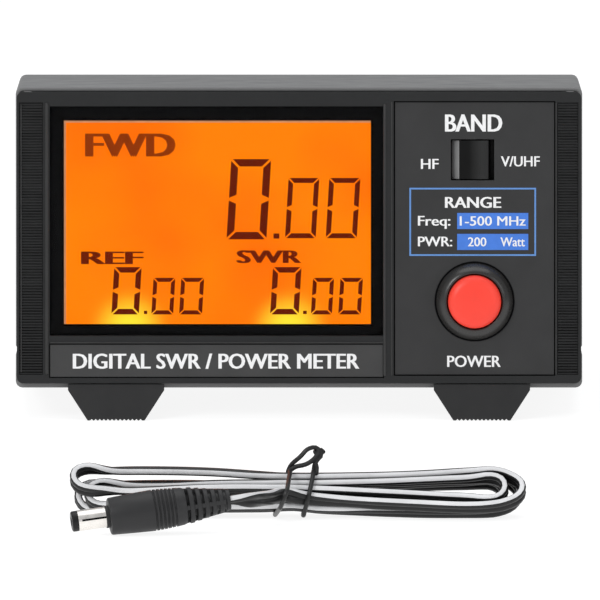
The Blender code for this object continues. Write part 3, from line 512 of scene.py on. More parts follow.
def surround(work, left, right, low, high, wide, front, back):
    """A flat frame, so wide, round an opening."""
    slab(work, left - wide, left, low - wide, high + wide, front, back)
    slab(work, right, right + wide, low - wide, high + wide, front, back)
    slab(work, left, right, low - wide, low, front, back)
    slab(work, left, right, high, high + wide, front, back)


def finish_from(work, first, finish):
    """Give a finish to the faces from the first one on."""
    work.faces.ensure_lookup_table()
    for face in work.faces[first:]:
        face.material_index = finish


def rounded(left, right, low, high, radius, steps=5):
    """The outline of a rectangle with rounded corners, from its lower right corner round."""
    outline = []
    for x, z, turn in (
        (right - radius, low + radius, -90), (right - radius, high - radius, 0),
        (left + radius, high - radius, 90), (left + radius, low + radius, 180),
    ):
        for i in range(steps + 1):
            angle = math.radians(turn + 90 * i / steps)
            outline.append((x + radius * math.cos(angle), z + radius * math.sin(angle)))
    return outline


def lathe(work, profile, place=AS_PACKED, steps=48, finish=0, closed=True):
    """A profile of (radius, distance along the axis) turned about the Z axis of place."""
    rings = []
    for radius, along in profile:
        if radius:
            turns = [math.tau * i / steps for i in range(steps)]
            ring = [(radius * math.cos(a), radius * math.sin(a), along) for a in turns]
        else:
            ring = [(0, 0, along)]
        rings.append([work.verts.new(place @ Vector(point)) for point in ring])
    pairs = list(zip(rings, rings[1:] + rings[:1] if closed else rings[1:]))
    for one, two in pairs:
        if len(one) == len(two) == 1:
            continue
        for i in range(steps):
            j = (i + 1) % steps
            if len(one) == 1:
                corners = (one[0], two[j], two[i])
            elif len(two) == 1:
                corners = (one[i], one[j], two[0])
            else:
                corners = (one[i], one[j], two[j], two[i])
            work.faces.new(corners).material_index = finish


def tube(work, points, radius, sides=10, closed=False):
    """A round wire along the points, with domed ends where it is open."""
    points = [Vector(point) for point in points]
    count = len(points)
    ahead = []
    for i in range(count):
        if closed:
            ahead.append((points[(i + 1) % count] - points[i - 1]).normalized())
        else:
            ahead.append((points[min(i + 1, count - 1)] - points[max(i - 1, 0)]).normalized())
    aside = ahead[0].orthogonal().normalized()
    rings = []
    stations = [(point, direction, radius) for point, direction in zip(points, ahead)]
    if not closed:
        for at, sign in ((0, -1), (-1, 1)):
            point, direction, _ = stations[at]
            caps = [(point + direction * sign * radius * math.sin(a), direction, radius * math.cos(a))
                    for a in (math.radians(40), math.radians(75))]
            stations = caps[::-1] + stations if at == 0 else stations + caps
    for point, direction, size in stations:
        aside = (aside - direction * aside.dot(direction)).normalized()
        over = direction.cross(aside)
        turns = [math.tau * i / sides for i in range(sides)]
        rings.append([
            work.verts.new(point + (aside * math.cos(a) + over * math.sin(a)) * size) for a in turns
        ])
    pairs = zip(rings, rings[1:] + rings[:1]) if closed else zip(rings, rings[1:])
    for one, two in pairs:
        for i in range(sides):
            j = (i + 1) % sides
            work.faces.new((one[i], one[j], two[j], two[i]))
    if not closed:
        work.faces.new(rings[0][::-1])
        work.faces.new(rings[-1])


# ---------------------------------------------------------------- the CAD nodes' looks

SHARP_ANGLE = math.radians(38)


def smoothing_group():
    """Joins a CAD mesh's split vertices and shades it smooth between its sharp edges."""
    group = bpy.data.node_groups.new("smooth_faces", "GeometryNodeTree")
    group.interface.new_socket("Geometry", in_out="INPUT", socket_type="NodeSocketGeometry")
    group.interface.new_socket("Geometry", in_out="OUTPUT", socket_type="NodeSocketGeometry")
    start = group.nodes.new("NodeGroupInput")
    merge = group.nodes.new("GeometryNodeMergeByDistance")
    merge.inputs["Distance"].default_value = 1e-6
    forget = group.nodes.new("GeometryNodeRemoveAttribute")
    forget.inputs["Name"].default_value = "custom_normal"
    smooth = group.nodes.new("GeometryNodeSetShadeSmooth")
    sharp = group.nodes.new("GeometryNodeSetShadeSmooth")
    sharp.domain = "EDGE"
    sharp.inputs["Shade Smooth"].default_value = False
    angle = group.nodes.new("GeometryNodeInputMeshEdgeAngle")
    over = group.nodes.new("FunctionNodeCompare")
    over.data_type = "FLOAT"
    over.operation = "GREATER_THAN"
    over.inputs["B"].default_value = SHARP_ANGLE
    end = group.nodes.new("NodeGroupOutput")
    join = group.links.new
    join(start.outputs["Geometry"], merge.inputs["Geometry"])
    join(merge.outputs["Geometry"], forget.inputs["Geometry"])
    join(forget.outputs["Geometry"], smooth.inputs["Geometry"])
    join(smooth.outputs["Geometry"], sharp.inputs["Geometry"])
    join(angle.outputs["Unsigned Angle"], over.inputs["A"])
    join(over.outputs["Result"], sharp.inputs["Selection"])
    join(sharp.outputs["Geometry"], end.inputs["Geometry"])
    return group


SPECIAL_FINISH = {
    "title_plate": "title_plastic",
    "lcd_frame": "mask_black",
    "power_button_ring": "ring_plastic",
    "band_rocker": "rocker_plastic",
    "plug_grip": "plug_vinyl",
}


def dress_cad_nodes():
    """Give every CAD node the finish of its slot and smooth shading."""
    group = smoothing_group()
    slots = {part["node"]: part["material_slot"] for part in frame["record"]["subparts"]}
    for name, node in frame["nodes"].items():
        node.data.materials.clear()
        node.data.materials.append(FINISH[SPECIAL_FINISH.get(name, slots[name])])
        modifier = node.modifiers.new("smooth_faces", "NODES")
        modifier.node_group = group


COVER_ROUNDING = 0.45 * MM


def round_cover():
    """Soften the cover's sheared edges, which catch the light."""
    rounding = frame["nodes"]["top_cover"].modifiers.new("rounded_edges", "BEVEL")
    rounding.width = COVER_ROUNDING
    rounding.segments = 3
    rounding.limit_method = "ANGLE"
    rounding.angle_limit = SHARP_ANGLE
    rounding.harden_normals = True


dress_cad_nodes()
round_cover()

# ---------------------------------------------------------------- lettering and print

PRINT = 0.06 * MM  # how thick the print is, most of it proud of its face
SUNK = 0.2 * PRINT  # how far it reaches into the face


def letters(text):
    """The text's mesh: upright letters on a base line at Z = 0, sized by CAPITAL."""
    curve = bpy.data.curves.new("letters", "FONT")
    curve.body = text
    curve.size = 10
    curve.extrude = 1.0
    curve.resolution_u = 3
    helper = bpy.data.objects.new("letters", curve)
    bpy.context.scene.collection.objects.link(helper)
    shape = helper.evaluated_get(bpy.context.evaluated_depsgraph_get())
    mesh = bpy.data.meshes.new_from_object(shape)
    bpy.data.objects.remove(helper)
    bpy.data.curves.remove(curve)
    return mesh


CAPITAL = max(vertex.co.y for vertex in letters("H").vertices)


def lettering(work, text, left, right, low, high, front, bold=0.0, finish=0):
    """Add text from left to right, its capitals from low to high, printed on the face at front.
    It is struck again a little to each side to make it bold."""
    mesh = letters(text)
    start = min(vertex.co.x for vertex in mesh.vertices) - bold
    end = max(vertex.co.x for vertex in mesh.vertices) + bold
    across = (right - left) / (end - start)
    up = (high - low) / CAPITAL
    for number, shift in enumerate((-bold, 0.0, bold) if bold else (0.0,)):
        first, first_face = len(work.verts), len(work.faces)
        work.from_mesh(mesh)
        work.verts.ensure_lookup_table()
        proud = (0.8 + 0.05 * number) * PRINT
        for vertex in work.verts[first:]:
            x, y, z = vertex.co
            x += shift
            vertex.co = (left + (x - start) * across, front + SUNK - proud * z, low + y * up)
        finish_from(work, first_face, finish)
    bpy.data.meshes.remove(mesh)


def in_mm(*values):
    return [value * MM for value in values]


def in_pairs(*points):
    return [(one * MM, two * MM) for one, two in points]


# ---------------------------------------------------------------- display

GLYPH_THICK = 0.12 * MM
GLYPH_FRONT = GLASS.front - GLYPH_THICK - 0.02 * MM


SLANT = 0.06  # how far the figures lean to the right, as a share of their height
SEGMENT_GAP = 0.21  # half the gap between segments, as a share of their stroke
# Each 0 as (left, right, low, high, stroke) and each point as (left, right, low, high), in millimetres.
ZEROS = (
    (-19.6, -7.5, 40.0, 61.7, 2.0), (-3.8, 5.5, 40.3, 56.6, 1.35), (7.2, 16.6, 40.3, 56.6, 1.35),
    (-50.7, -42.5, 19.7, 32.5, 1.5), (-39.9, -33.4, 19.7, 29.6, 1.1), (-32.4, -25.6, 19.7, 29.6, 1.1),
    (-7.8, 0.7, 19.7, 32.5, 1.5), (3.2, 9.5, 19.7, 29.6, 1.1), (10.6, 17.3, 19.7, 29.6, 1.1),
)
POINTS = ((-6.9, -5.3, 40.2, 41.6), (-41.9, -41.0, 19.8, 20.7), (1.1, 2.1, 19.8, 20.7))
# Each caption as (text, left, right, low, high, boldness, finish).
CAPTIONS = (
    ("FWD", -57.8, -33.3, 62.4, 68.6, 0.55, 0),
    ("REF", -58.9, -42.0, 33.3, 36.7, 0.5, 1),
    ("SWR", -16.9, 0.7, 33.6, 37.0, 0.5, 1),
)
PALE_EDGE = 0.55 * MM
MASK_WIDTH = 2.4 * MM


def zero(work, left, right, low, high, stroke):
    """A seven-segment 0 with mitred segments, leaning to the right."""
    lean = SLANT * (high - low)
    wide, tall, half = right - left - lean, high - low, (high - low) / 2
    g = SEGMENT_GAP * stroke
    s = stroke
    upper = [(0, tall - g), (0, half + g * 0.8), (s, half + g * 0.8 + s * 0.45), (s, tall - g - s)]
    shapes = [
        [(g, tall), (g + s, tall - s), (wide - g - s, tall - s), (wide - g, tall)],
        [(g, 0), (wide - g, 0), (wide - g - s, s), (g + s, s)],
        upper,
        [(wide - x, z) for x, z in upper],
        [(x, tall - z) for x, z in upper],
        [(wide - x, tall - z) for x, z in upper],
    ]
    for shape in shapes:
        leaning = [((left + x + SLANT * z) * MM, (low + z) * MM) for x, z in shape]
        prism(work, leaning, GLYPH_FRONT, GLYPH_FRONT + GLYPH_THICK)


def make_display():
    """The display's figures and captions, the pale edge of its lit area and the dark mask round it."""
    work = bmesh.new()
    for place in ZEROS:
        zero(work, *place)
    for place in POINTS:
        slab(work, *in_mm(*place), GLYPH_FRONT, GLYPH_FRONT + GLYPH_THICK)
    show("lcd_figures", mesh_of(work), "lcd_segment")

    work = bmesh.new()
    for text, left, right, low, high, bold, finish in CAPTIONS:
        lettering(work, text, *in_mm(left, right, low, high), GLYPH_FRONT + GLYPH_THICK, bold, finish)
    show("lcd_captions", print_mesh(work), ["lcd_caption", "lcd_caption_dark"])

    work = bmesh.new()
    front, back = GLYPH_FRONT + 0.02 * MM, GLASS.front
    slab(work, LIT_LEFT, LIT_RIGHT, LIT_HIGH - PALE_EDGE, LIT_HIGH, front, back)
    slab(work, LIT_LEFT, LIT_LEFT + PALE_EDGE, LIT_LOW, LIT_HIGH - PALE_EDGE, front, back)
    show("lcd_edge", mesh_of(work), "lcd_edge")

    work = bmesh.new()
    front, back = GLASS.front - 0.3 * MM, GLASS.front - 0.05 * MM
    surround(work, LIT_LEFT, LIT_RIGHT, LIT_LOW, LIT_HIGH, MASK_WIDTH, front, back)
    show("lcd_mask", mesh_of(work), "mask_black")


make_display()

# ---------------------------------------------------------------- front face

RIB_PITCH = 0.75 * MM
RIB_PROUD = 0.38 * MM
RIB_POCKET_DEPTH = 0.5 * MM
RIB_AREAS = ((-75.6, -69.1), (69.7, 75.4))
RIB_LOW, RIB_HIGH = 3.6 * MM, 77.2 * MM
RIB_GAP = 0.15 * MM  # at each end of a rib
RIB_UNEVENNESS = ((0.22, 2.4), (0.12, 0.9))  # share of the height, and turn from rib to rib
# A rib's section as (share of its height, share of the pitch).
RIB_SECTION = ((0, 0), (0.75, 0.18), (1, 0.38), (0.8, 0.58), (0, 0.8))


def make_ribs():
    """Fine level ribs in the front face's two side pockets."""
    for side, (left, right) in zip(("left", "right"), RIB_AREAS):
        work = bmesh.new()
        count = int((RIB_HIGH - RIB_LOW) / RIB_PITCH)
        base = BEZEL.front + RIB_POCKET_DEPTH
        outline = []
        for i in range(count):
            low = RIB_LOW + i * RIB_PITCH
            uneven = sum(share * math.sin(i * turn) for share, turn in RIB_UNEVENNESS)
            proud = RIB_PROUD * (1 + uneven)
            outline += [(base - proud * out, low + RIB_PITCH * up) for out, up in RIB_SECTION]
        outline += [(base + SKIN, RIB_LOW + count * RIB_PITCH), (base + SKIN, RIB_LOW)]
        prism(work, outline, left * MM + RIB_GAP, right * MM - RIB_GAP, along="X")
        show(f"{side}_ribs", mesh_of(work, smooth_angle=50), "rib_plastic")


# Each bead as (x, radius, low, high) in millimetres; the wider ones frame the display.
BEADS = (
    (-68.1, 0.55, 4.2, 76.6),
    (23.15, 0.42, 3.6, 76.4),
    (25.05, 0.22, 3.6, 77.2),
    (69.4, 0.2, 4.0, 76.8),
    (-75.0, 0.18, 4.4, 76.4),
)


def make_beads():
    """The half-round beads that run up the front face beside the display and the panel."""
    work = bmesh.new()
    for x, radius, low, high in BEADS:
        place = [(x * MM, BEZEL.front + 0.1 * MM, z * MM) for z in np.linspace(low, high, 9)]
        tube(work, place, radius * MM, sides=12)
    rail_low, rail_high = TITLE.high + 0.35 * MM, TITLE.high + 0.75 * MM
    outline = [(0.0, rail_low), (-0.22 * MM, rail_low + 0.1 * MM), (-0.22 * MM, rail_high - 0.1 * MM),
               (0.0, rail_high), (SKIN, rail_high), (SKIN, rail_low)]
    prism(work, outline, TITLE.left, TITLE.right, along="X")
    # The beads and the rail are painted lighter than the bezel as a highlight.
    show("front_beads", mesh_of(work), "ridge_plastic")


def make_title():
    """The title under the display."""
    work = bmesh.new()
    place = in_mm(-61.1, 16.3, 5.25, 9.25)
    lettering(work, "DIGITAL SWR / POWER METER", *place, TITLE.front, bold=0.32)
    show("title_print", print_mesh(work), "white_ink")


RANGE_BOX = (29.8, 64.0, 35.7, 54.1)
RANGE_LINE = 0.45
BARS = ((42.7, 61.9, 42.95, 47.3), (42.7, 61.9, 37.3, 41.65))
FILM = 0.04 * MM  # how proud the printed lines and bars are
# Each label as (text, left, right, low, high, boldness), in millimetres.
PANEL_LABELS = (
    ("BAND", 39.4, 54.9, 69.3, 73.9, 0.35),
    ("HF", 32.9, 37.7, 59.2, 61.9, 0.2),
    ("V/UHF", 54.5, 65.0, 59.9, 62.6, 0.2),
    ("RANGE", 39.4, 54.6, 48.7, 51.6, 0.3),
    ("Freq:", 32.1, 40.9, 43.9, 46.5, 0.22),
    ("PWR:", 32.1, 41.4, 38.3, 40.9, 0.22),
    ("POWER", 40.0, 54.5, 5.7, 8.7, 0.24),
)
BAR_LABELS = (
    ("1-500 MHz", 43.4, 61.2, 43.9, 46.4, 0.16),
    ("200", 45.6, 50.6, 38.3, 40.7, 0.18),
    ("Watt", 54.4, 61.0, 38.3, 40.7, 0.18),
)


def make_panel_print():
    """The control panel's generic print: a band heading, switch labels and a boxed range table."""
    work = bmesh.new()
    proud, sunk = PANEL.front - FILM, PANEL.front + 0.01 * MM
    left, right, low, high = RANGE_BOX
    line = RANGE_LINE
    inner = in_mm(left + line, right - line, low + line, high - line)
    surround(work, *inner, line * MM, proud, sunk)
    finish_from(work, 0, 1)
    first = len(work.faces)
    for bar in BARS:
        slab(work, *in_mm(*bar), proud, sunk)
    finish_from(work, first, 2)
    for labels, front in ((PANEL_LABELS, PANEL.front), (BAR_LABELS, proud)):
        for text, left, right, low, high, bold in labels:
            lettering(work, text, *in_mm(left, right, low, high), front, bold)
    show("panel_print", print_mesh(work), ["white_ink", "line_ink", "blue_ink"])


SHADE_STRIP_INSIDE, SHADE_STRIP_OUTSIDE = 1.0 * MM, 1.4 * MM  # how far it reaches in and out from the plate's edge


def make_panel_shade_strip():
    """A black strip behind the control plate's edge, which hides the light in the case, so that the gap round the
    plate is painted shade.
    """
    work = bmesh.new()
    opening = (PANEL.left + SHADE_STRIP_INSIDE, PANEL.right - SHADE_STRIP_INSIDE,
               PANEL.low + SHADE_STRIP_INSIDE, PANEL.high - SHADE_STRIP_INSIDE)
    wide = SHADE_STRIP_INSIDE + SHADE_STRIP_OUTSIDE
    surround(work, *opening, wide, PANEL.back + 0.03 * MM, PANEL.back + 0.25 * MM)
    show("panel_shade_strip", mesh_of(work), "mask_black")


ROCKER_HALF = 5.2 * MM
ROCKER_TURN = math.radians(-10)
# The rocker seen from above, in millimetres from its pivot: its dished body and its left end, which is painted
# pale grey as a highlight.
ROCKER_BODY = (
    (-2.75, -0.5), (-2.75, -5.18), (-1.4, -4.83), (0, -4.7), (1.4, -4.83), (2.8, -5.2), (4.75, -4.15),
    (5.0, -3.9), (5.0, -0.5), (3.6, 3.4), (-3.6, 3.4), (-5.0, -0.5),
)
ROCKER_HIGHLIGHT_END = ((-2.75, -0.5), (-2.75, -5.18), (-2.95, -5.2), (-4.75, -4.15), (-5.0, -3.9), (-5.0, -0.5))


TRUNNION_RADIUS, TRUNNION_REACH = 1.2 * MM, 0.9 * MM


def make_rocker():
    """The band rocker with its dished face, its left end painted pale as a highlight, and two trunnions."""
    work = bmesh.new()
    for finish, outline in enumerate((ROCKER_BODY, ROCKER_HIGHLIGHT_END)):
        for face in prism(work, in_pairs(*outline), -ROCKER_HALF, ROCKER_HALF, along="Z"):
            face.material_index = finish
    trunnion = Matrix.Translation((0, 0, -ROCKER_HALF - TRUNNION_REACH))
    length = 2 * (ROCKER_HALF + TRUNNION_REACH)
    profile = [(0, 0), (TRUNNION_RADIUS, 0), (TRUNNION_RADIUS, length), (0, length)]
    lathe(work, profile, trunnion, 24, closed=False)
    place = CASE @ Matrix.Translation(ROCKER_PIVOT) @ Matrix.Rotation(ROCKER_TURN, 4, "Z")
    show("rocker", mesh_of(work), ["rocker_plastic", "rocker_edge"], body="band_rocker",
         place=place, stands_for=["band_rocker"])


# The ring, and the gap round it where a black ring stands for the shade, as (radius, distance into the case) in
# millimetres.
RING_PROFILE = (
    (7.5, -2.4), (7.5, 16.0), (8.1, 16.0), (8.1, 0.25), (10.35, 0.25), (10.35, -0.2),
    (10.2, -0.5), (9.85, -1.0), (9.45, -1.5), (9.0, -1.95), (8.55, -2.3), (8.15, -2.52),
    (7.85, -2.6), (7.65, -2.58),
)
RING_PAINTED_SHADE = ((10.3, 0.45), (10.3, 0.25), (10.8, 0.25), (10.8, 0.45))


def make_button_ring():
    """The power button's ring, which slopes outwards, its sleeve and a black ring in the gap round it, painted
    shade.
    """
    work = bmesh.new()
    place = Matrix.Translation((RING.x, 0, RING.z)) @ Matrix.Rotation(math.radians(-90), 4, "X")
    lathe(work, in_pairs(*RING_PROFILE), place, 72)
    lathe(work, in_pairs(*RING_PAINTED_SHADE), place, 72, 1)
    show("button_ring", mesh_of(work, smooth_angle=50), ["ring_plastic", "mask_black"],
         stands_for=["power_button_ring"])


make_ribs()
make_beads()
make_title()
make_panel_print()
make_panel_shade_strip()
make_rocker()
make_button_ring()

# ---------------------------------------------------------------- rear sockets

THREAD_PITCH = 25.4 / 24 * MM
FLANGE_THICK = 3.0 * MM
FLANGE_CORNER = 2.4 * MM
FLANGE_SCREW = 9.0 * MM  # from the socket's middle, each way
SCREW_RADIUS, SCREW_CROWN = 2.6 * MM, 1.35 * MM
SHELL_RADIUS, SHELL_BORE = 7.9 * MM, 6.0 * MM


def threaded(outer, start, end):
    """The profile of a screw thread's ridges between two places along the axis."""
    profile = []
    along = start
    while along + THREAD_PITCH < end:
        profile += [
            (outer - 0.45 * MM, along), (outer, along + 0.40 * THREAD_PITCH),
            (outer, along + 0.55 * THREAD_PITCH), (outer - 0.45 * MM, along + 0.95 * THREAD_PITCH),
        ]
        along += THREAD_PITCH
    return profile


def screw(work, x, z, seat):
    """A flange screw: a pan head on its seat, and a black cross on it, painted shade standing for its recess."""
    radius, crown = SCREW_RADIUS, SCREW_CROWN
    place = Matrix.Translation((x, seat, z)) @ Matrix.Rotation(math.radians(-90), 4, "X")
    lathe(work, [(0, -0.2 * MM), (radius, -0.2 * MM), (radius, 0.5 * MM), (radius * 0.85, 1.05 * MM),
                 (radius * 0.5, 1.3 * MM), (0, crown)], place, 24, 1, closed=False)
    long, short = radius * 0.62, radius * 0.16
    first = len(work.faces)
    for a, b in ((long, short), (short, long)):
        slab(work, x - a, x + a, z - b, z + b, seat + crown, seat + crown + 0.03 * MM)
    finish_from(work, first, 2)


def make_sockets():
    """The coaxial sockets' threaded shells with chamfered rims, and their flange screws."""
    for port in ("vuhf_antenna", "vuhf_transmitter", "hf_transmitter", "hf_antenna"):
        shell = Area(f"{port}_socket")
        insulator = Area(f"{port}_insulator")
        x, z = insulator.x, insulator.z
        work = bmesh.new()
        flange_front = REAR.back + 0.3 * MM
        flange_back = flange_front + FLANGE_THICK
        half = (shell.right - shell.left) / 2
        outline = rounded(x - half, x + half, z - half, z + half, FLANGE_CORNER, 6)
        prism(work, outline, flange_front, flange_back)
        outer, bore, rim = SHELL_RADIUS, SHELL_BORE, shell.back
        place = Matrix.Translation((x, 0, z)) @ Matrix.Rotation(math.radians(-90), 4, "X")
        profile = [(bore, flange_back - 0.5 * MM), (outer - 0.3 * MM, flange_back - 0.5 * MM)]
        profile += [(outer - 0.3 * MM, flange_back + 0.8 * MM)]
        profile += threaded(outer, flange_back + 0.8 * MM, rim - 0.6 * MM)
        profile += [(outer - 0.45 * MM, rim - 0.5 * MM), (outer - 0.9 * MM, rim)]
        profile += [(bore + 0.3 * MM, rim), (bore, rim - 0.3 * MM)]
        lathe(work, profile, place, 48)
        for dx in (-FLANGE_SCREW, FLANGE_SCREW):
            for dz in (-FLANGE_SCREW, FLANGE_SCREW):
                screw(work, x + dx, z + dz, flange_back)
        show(f"{port}_shell", mesh_of(work, smooth_angle=40), ["nickel", "screw_steel", "mask_black"],
             stands_for=[f"{port}_socket"])


# Each label as (text, middle, low, width), in millimetres.
REAR_LABELS = (
    ("ANT", -56, 61.0, 6.4), ("TX", -24, 61.0, 4.4), ("TX", 24, 61.0, 4.4), ("ANT", 56, 61.0, 6.4),
    ("V/UHF", -40, 68.0, 11.0), ("HF", 40, 68.0, 5.0), ("DC 12V", 14, 17.0, 11.5),
)
REAR_CAPITAL = 2.8


def make_rear_print():
    """Generic labels over the rear sockets and the power inlet, turned to be read from behind."""
    work = bmesh.new()
    for text, x, low, wide in REAR_LABELS:
        place = in_mm(-x - wide / 2, -x + wide / 2, low, low + REAR_CAPITAL)
        lettering(work, text, *place, 0.0, bold=0.25)
    for vertex in work.verts:
        x, y, z = vertex.co
        vertex.co = (-x, REAR.back - y, z)
    show("rear_print", print_mesh(work), "white_ink")


make_sockets()
make_rear_print()

# ---------------------------------------------------------------- power lead: its route

CORD_WIDTH = 4.2 * MM  # a flat cord of two cores side by side
CORE = CORD_WIDTH / 2
HANK_LOW, HANK_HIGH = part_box("cord_hank")
HANK_MIDDLE = (HANK_LOW + HANK_HIGH) / 2
LEAN = math.radians(38)  # the folds' plane, up from the floor
ACROSS = Vector((0, math.cos(LEAN), math.sin(LEAN)))
OUTWARDS = Vector((0, -math.sin(LEAN), math.cos(LEAN)))
HANK_CENTRE_HEIGHT = 7.6 * MM
TIE_X = -1.5
BEND = 46.0  # where the runs end and the folds begin, left and right
# Each run as (x, across, outwards) in millimetres from the hank's middle, in the order the cord
# takes them: odd runs go right along the low side and even runs come back along the high side.
RUNS = (
    ((TIE_X, -4.6, 2.2), (24, -6.4, 2.3), (BEND, -7.6, 2.2)),
    ((BEND, 5.2, 2.2), (24, 3.6, 2.2), (TIE_X, 3.4, 2.2), (-24, 5.2, 2.4), (-BEND, 5.4, 2.6)),
    ((-BEND, -2.0, 2.6), (-24, -1.0, 2.4), (TIE_X, -1.2, 2.2), (24, -3.0, 2.2), (BEND, -4.4, 2.2)),
    ((BEND, 2.6, 2.2), (24, 1.6, 2.4), (TIE_X, 1.2, 2.2), (-24, 1.8, 1.0), (-BEND, 2.4, 0.2)),
    ((-BEND, -4.6, 0.2), (-24, -4.0, -1.6), (TIE_X, -3.6, -2.2), (24, -4.8, -2.2), (BEND, -5.4, -2.2)),
    ((BEND, 7.6, -1.8), (24, 6.6, -2.0), (TIE_X, 3.8, -2.2), (-24, 5.4, -2.6), (-BEND, 5.6, -3.0)),
    ((-BEND, -2.4, -3.2), (-24, -1.4, -2.6), (TIE_X, -1.2, -2.2), (24, -1.8, -2.2), (BEND, -2.4, -2.2)),
    ((BEND, 5.0, -2.2), (24, 4.0, -2.2), (TIE_X, 1.2, -2.2), (-24, 1.2, -2.4), (-40, 0.6, -2.4)),
)
FOLDS = (13.6, 15.4, 10.0, 11.4, 12.4, 14.0, 9.2)  # how far each fold reaches past the runs' ends


def plug_axis():
    """The plug's tip and the way it points, from its CAD ring and barrel."""
    ring_low, ring_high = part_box("plug_tip_ring")
    barrel_low, barrel_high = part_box("plug_barrel")
    ring, barrel = (ring_low + ring_high) / 2, (barrel_low + barrel_high) / 2
    heading = (ring - barrel).normalized()
    return ring + heading * 0.85 * MM, heading


PLUG_TIP, PLUG_HEADING = plug_axis()
GRIP_END = 42.0 * MM  # behind the tip
CORD_EXIT = PLUG_TIP - PLUG_HEADING * GRIP_END


def laid(x, across, outwards):
    """A point of the hank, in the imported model's frame, from its place in millimetres."""
    middle = Vector((HANK_MIDDLE.x, HANK_MIDDLE.y, HANK_CENTRE_HEIGHT))
    return middle + Vector((x, 0, 0)) * MM + (ACROSS * across + OUTWARDS * outwards) * MM


def route():
    """The cord's route through all its runs and folds, before it is settled."""
    points = [CORD_EXIT + PLUG_HEADING * 2 * MM, CORD_EXIT - PLUG_HEADING * 5 * MM]
    for number, run in enumerate(RUNS):
        points += [laid(*stop) for stop in run]
        if number < len(FOLDS):
            start, end, reach = run[-1], RUNS[number + 1][0], FOLDS[number]
            side = math.copysign(1, start[0])
            for turn in (30, 60, 90, 120, 150):
                angle = math.radians(turn)
                share = (1 - math.cos(angle)) / 2
                points.append(laid(
                    start[0] + side * reach * math.sin(angle),
                    start[1] + (end[1] - start[1]) * share,
                    start[2] + (end[2] - start[2]) * share,
                ))
    return np.array(points, float)


def smooth_curve(points, spacing):
    """Points at an even spacing along a centripetal spline through the given ones."""
    ends = np.vstack([2 * points[0] - points[1], points, 2 * points[-1] - points[-2]])
    fine = []
    for a, b, c, d in zip(ends, ends[1:], ends[2:], ends[3:]):
        knots = np.cumsum([0] + [np.linalg.norm(q - p) ** 0.5 for p, q in ((a, b), (b, c), (c, d))])
        for share in np.linspace(0, 1, 16, endpoint=False):
            t = knots[1] + (knots[2] - knots[1]) * share

            def between(p, q, low, high):
                return (p * (high - t) + q * (t - low)) / (high - low)

            one, two, three = (
                between(p, q, knots[i], knots[i + 1]) for i, (p, q) in enumerate(((a, b), (b, c), (c, d)))
            )
            first = between(one, two, knots[0], knots[2])
            second = between(two, three, knots[1], knots[3])
            fine.append(between(first, second, knots[1], knots[2]))
    fine = np.array(fine + [points[-1]])
    return evenly(fine, spacing)


def evenly(line, spacing):
    """The line again, with its points an even distance apart."""
    steps = np.linalg.norm(np.diff(line, axis=0), axis=1)
    along = np.concatenate([[0], np.cumsum(steps)])
    count = int(round(along[-1] / spacing))
    at = np.linspace(0, along[-1], count + 1)
    return np.stack([np.interp(at, along, line[:, k]) for k in range(line.shape[1])], axis=1)


STATION = 2.2 * MM  # between the points that the settling moves
SIDE_TURN = -0.75  # how far the cord's flat side is turned from the folds' plane
SWAY = 0.5  # how much that changes along the cord
SWAY_LENGTH = 40 * MM
SETTLING = 260  # its steps
TIGHTEST = 4.6 * MM  # the smallest bend that the cord takes
TIE_HOLD = 5.9 * MM  # radius of the bundle inside the tie
TIE_REACH = 3.5 * MM
TIE_LIFT = 1.5 * MM  # how far the tie holds the bundle off the floor
CLEARANCE = 0.04 * MM  # between cords that lie against each other
NEIGHBOUR = 1.6 * MM  # how much farther apart two cords are watched from
SINKING = 0.004 * MM  # in each step
WATCH_EVERY = 8  # steps between searches for cords that are near each other
# The share of each fault that one step puts right.
APART_SHARE, BEND_SHARE, LINK_SHARE, TIE_SHARE = 0.45, 0.25, 0.8, 0.5


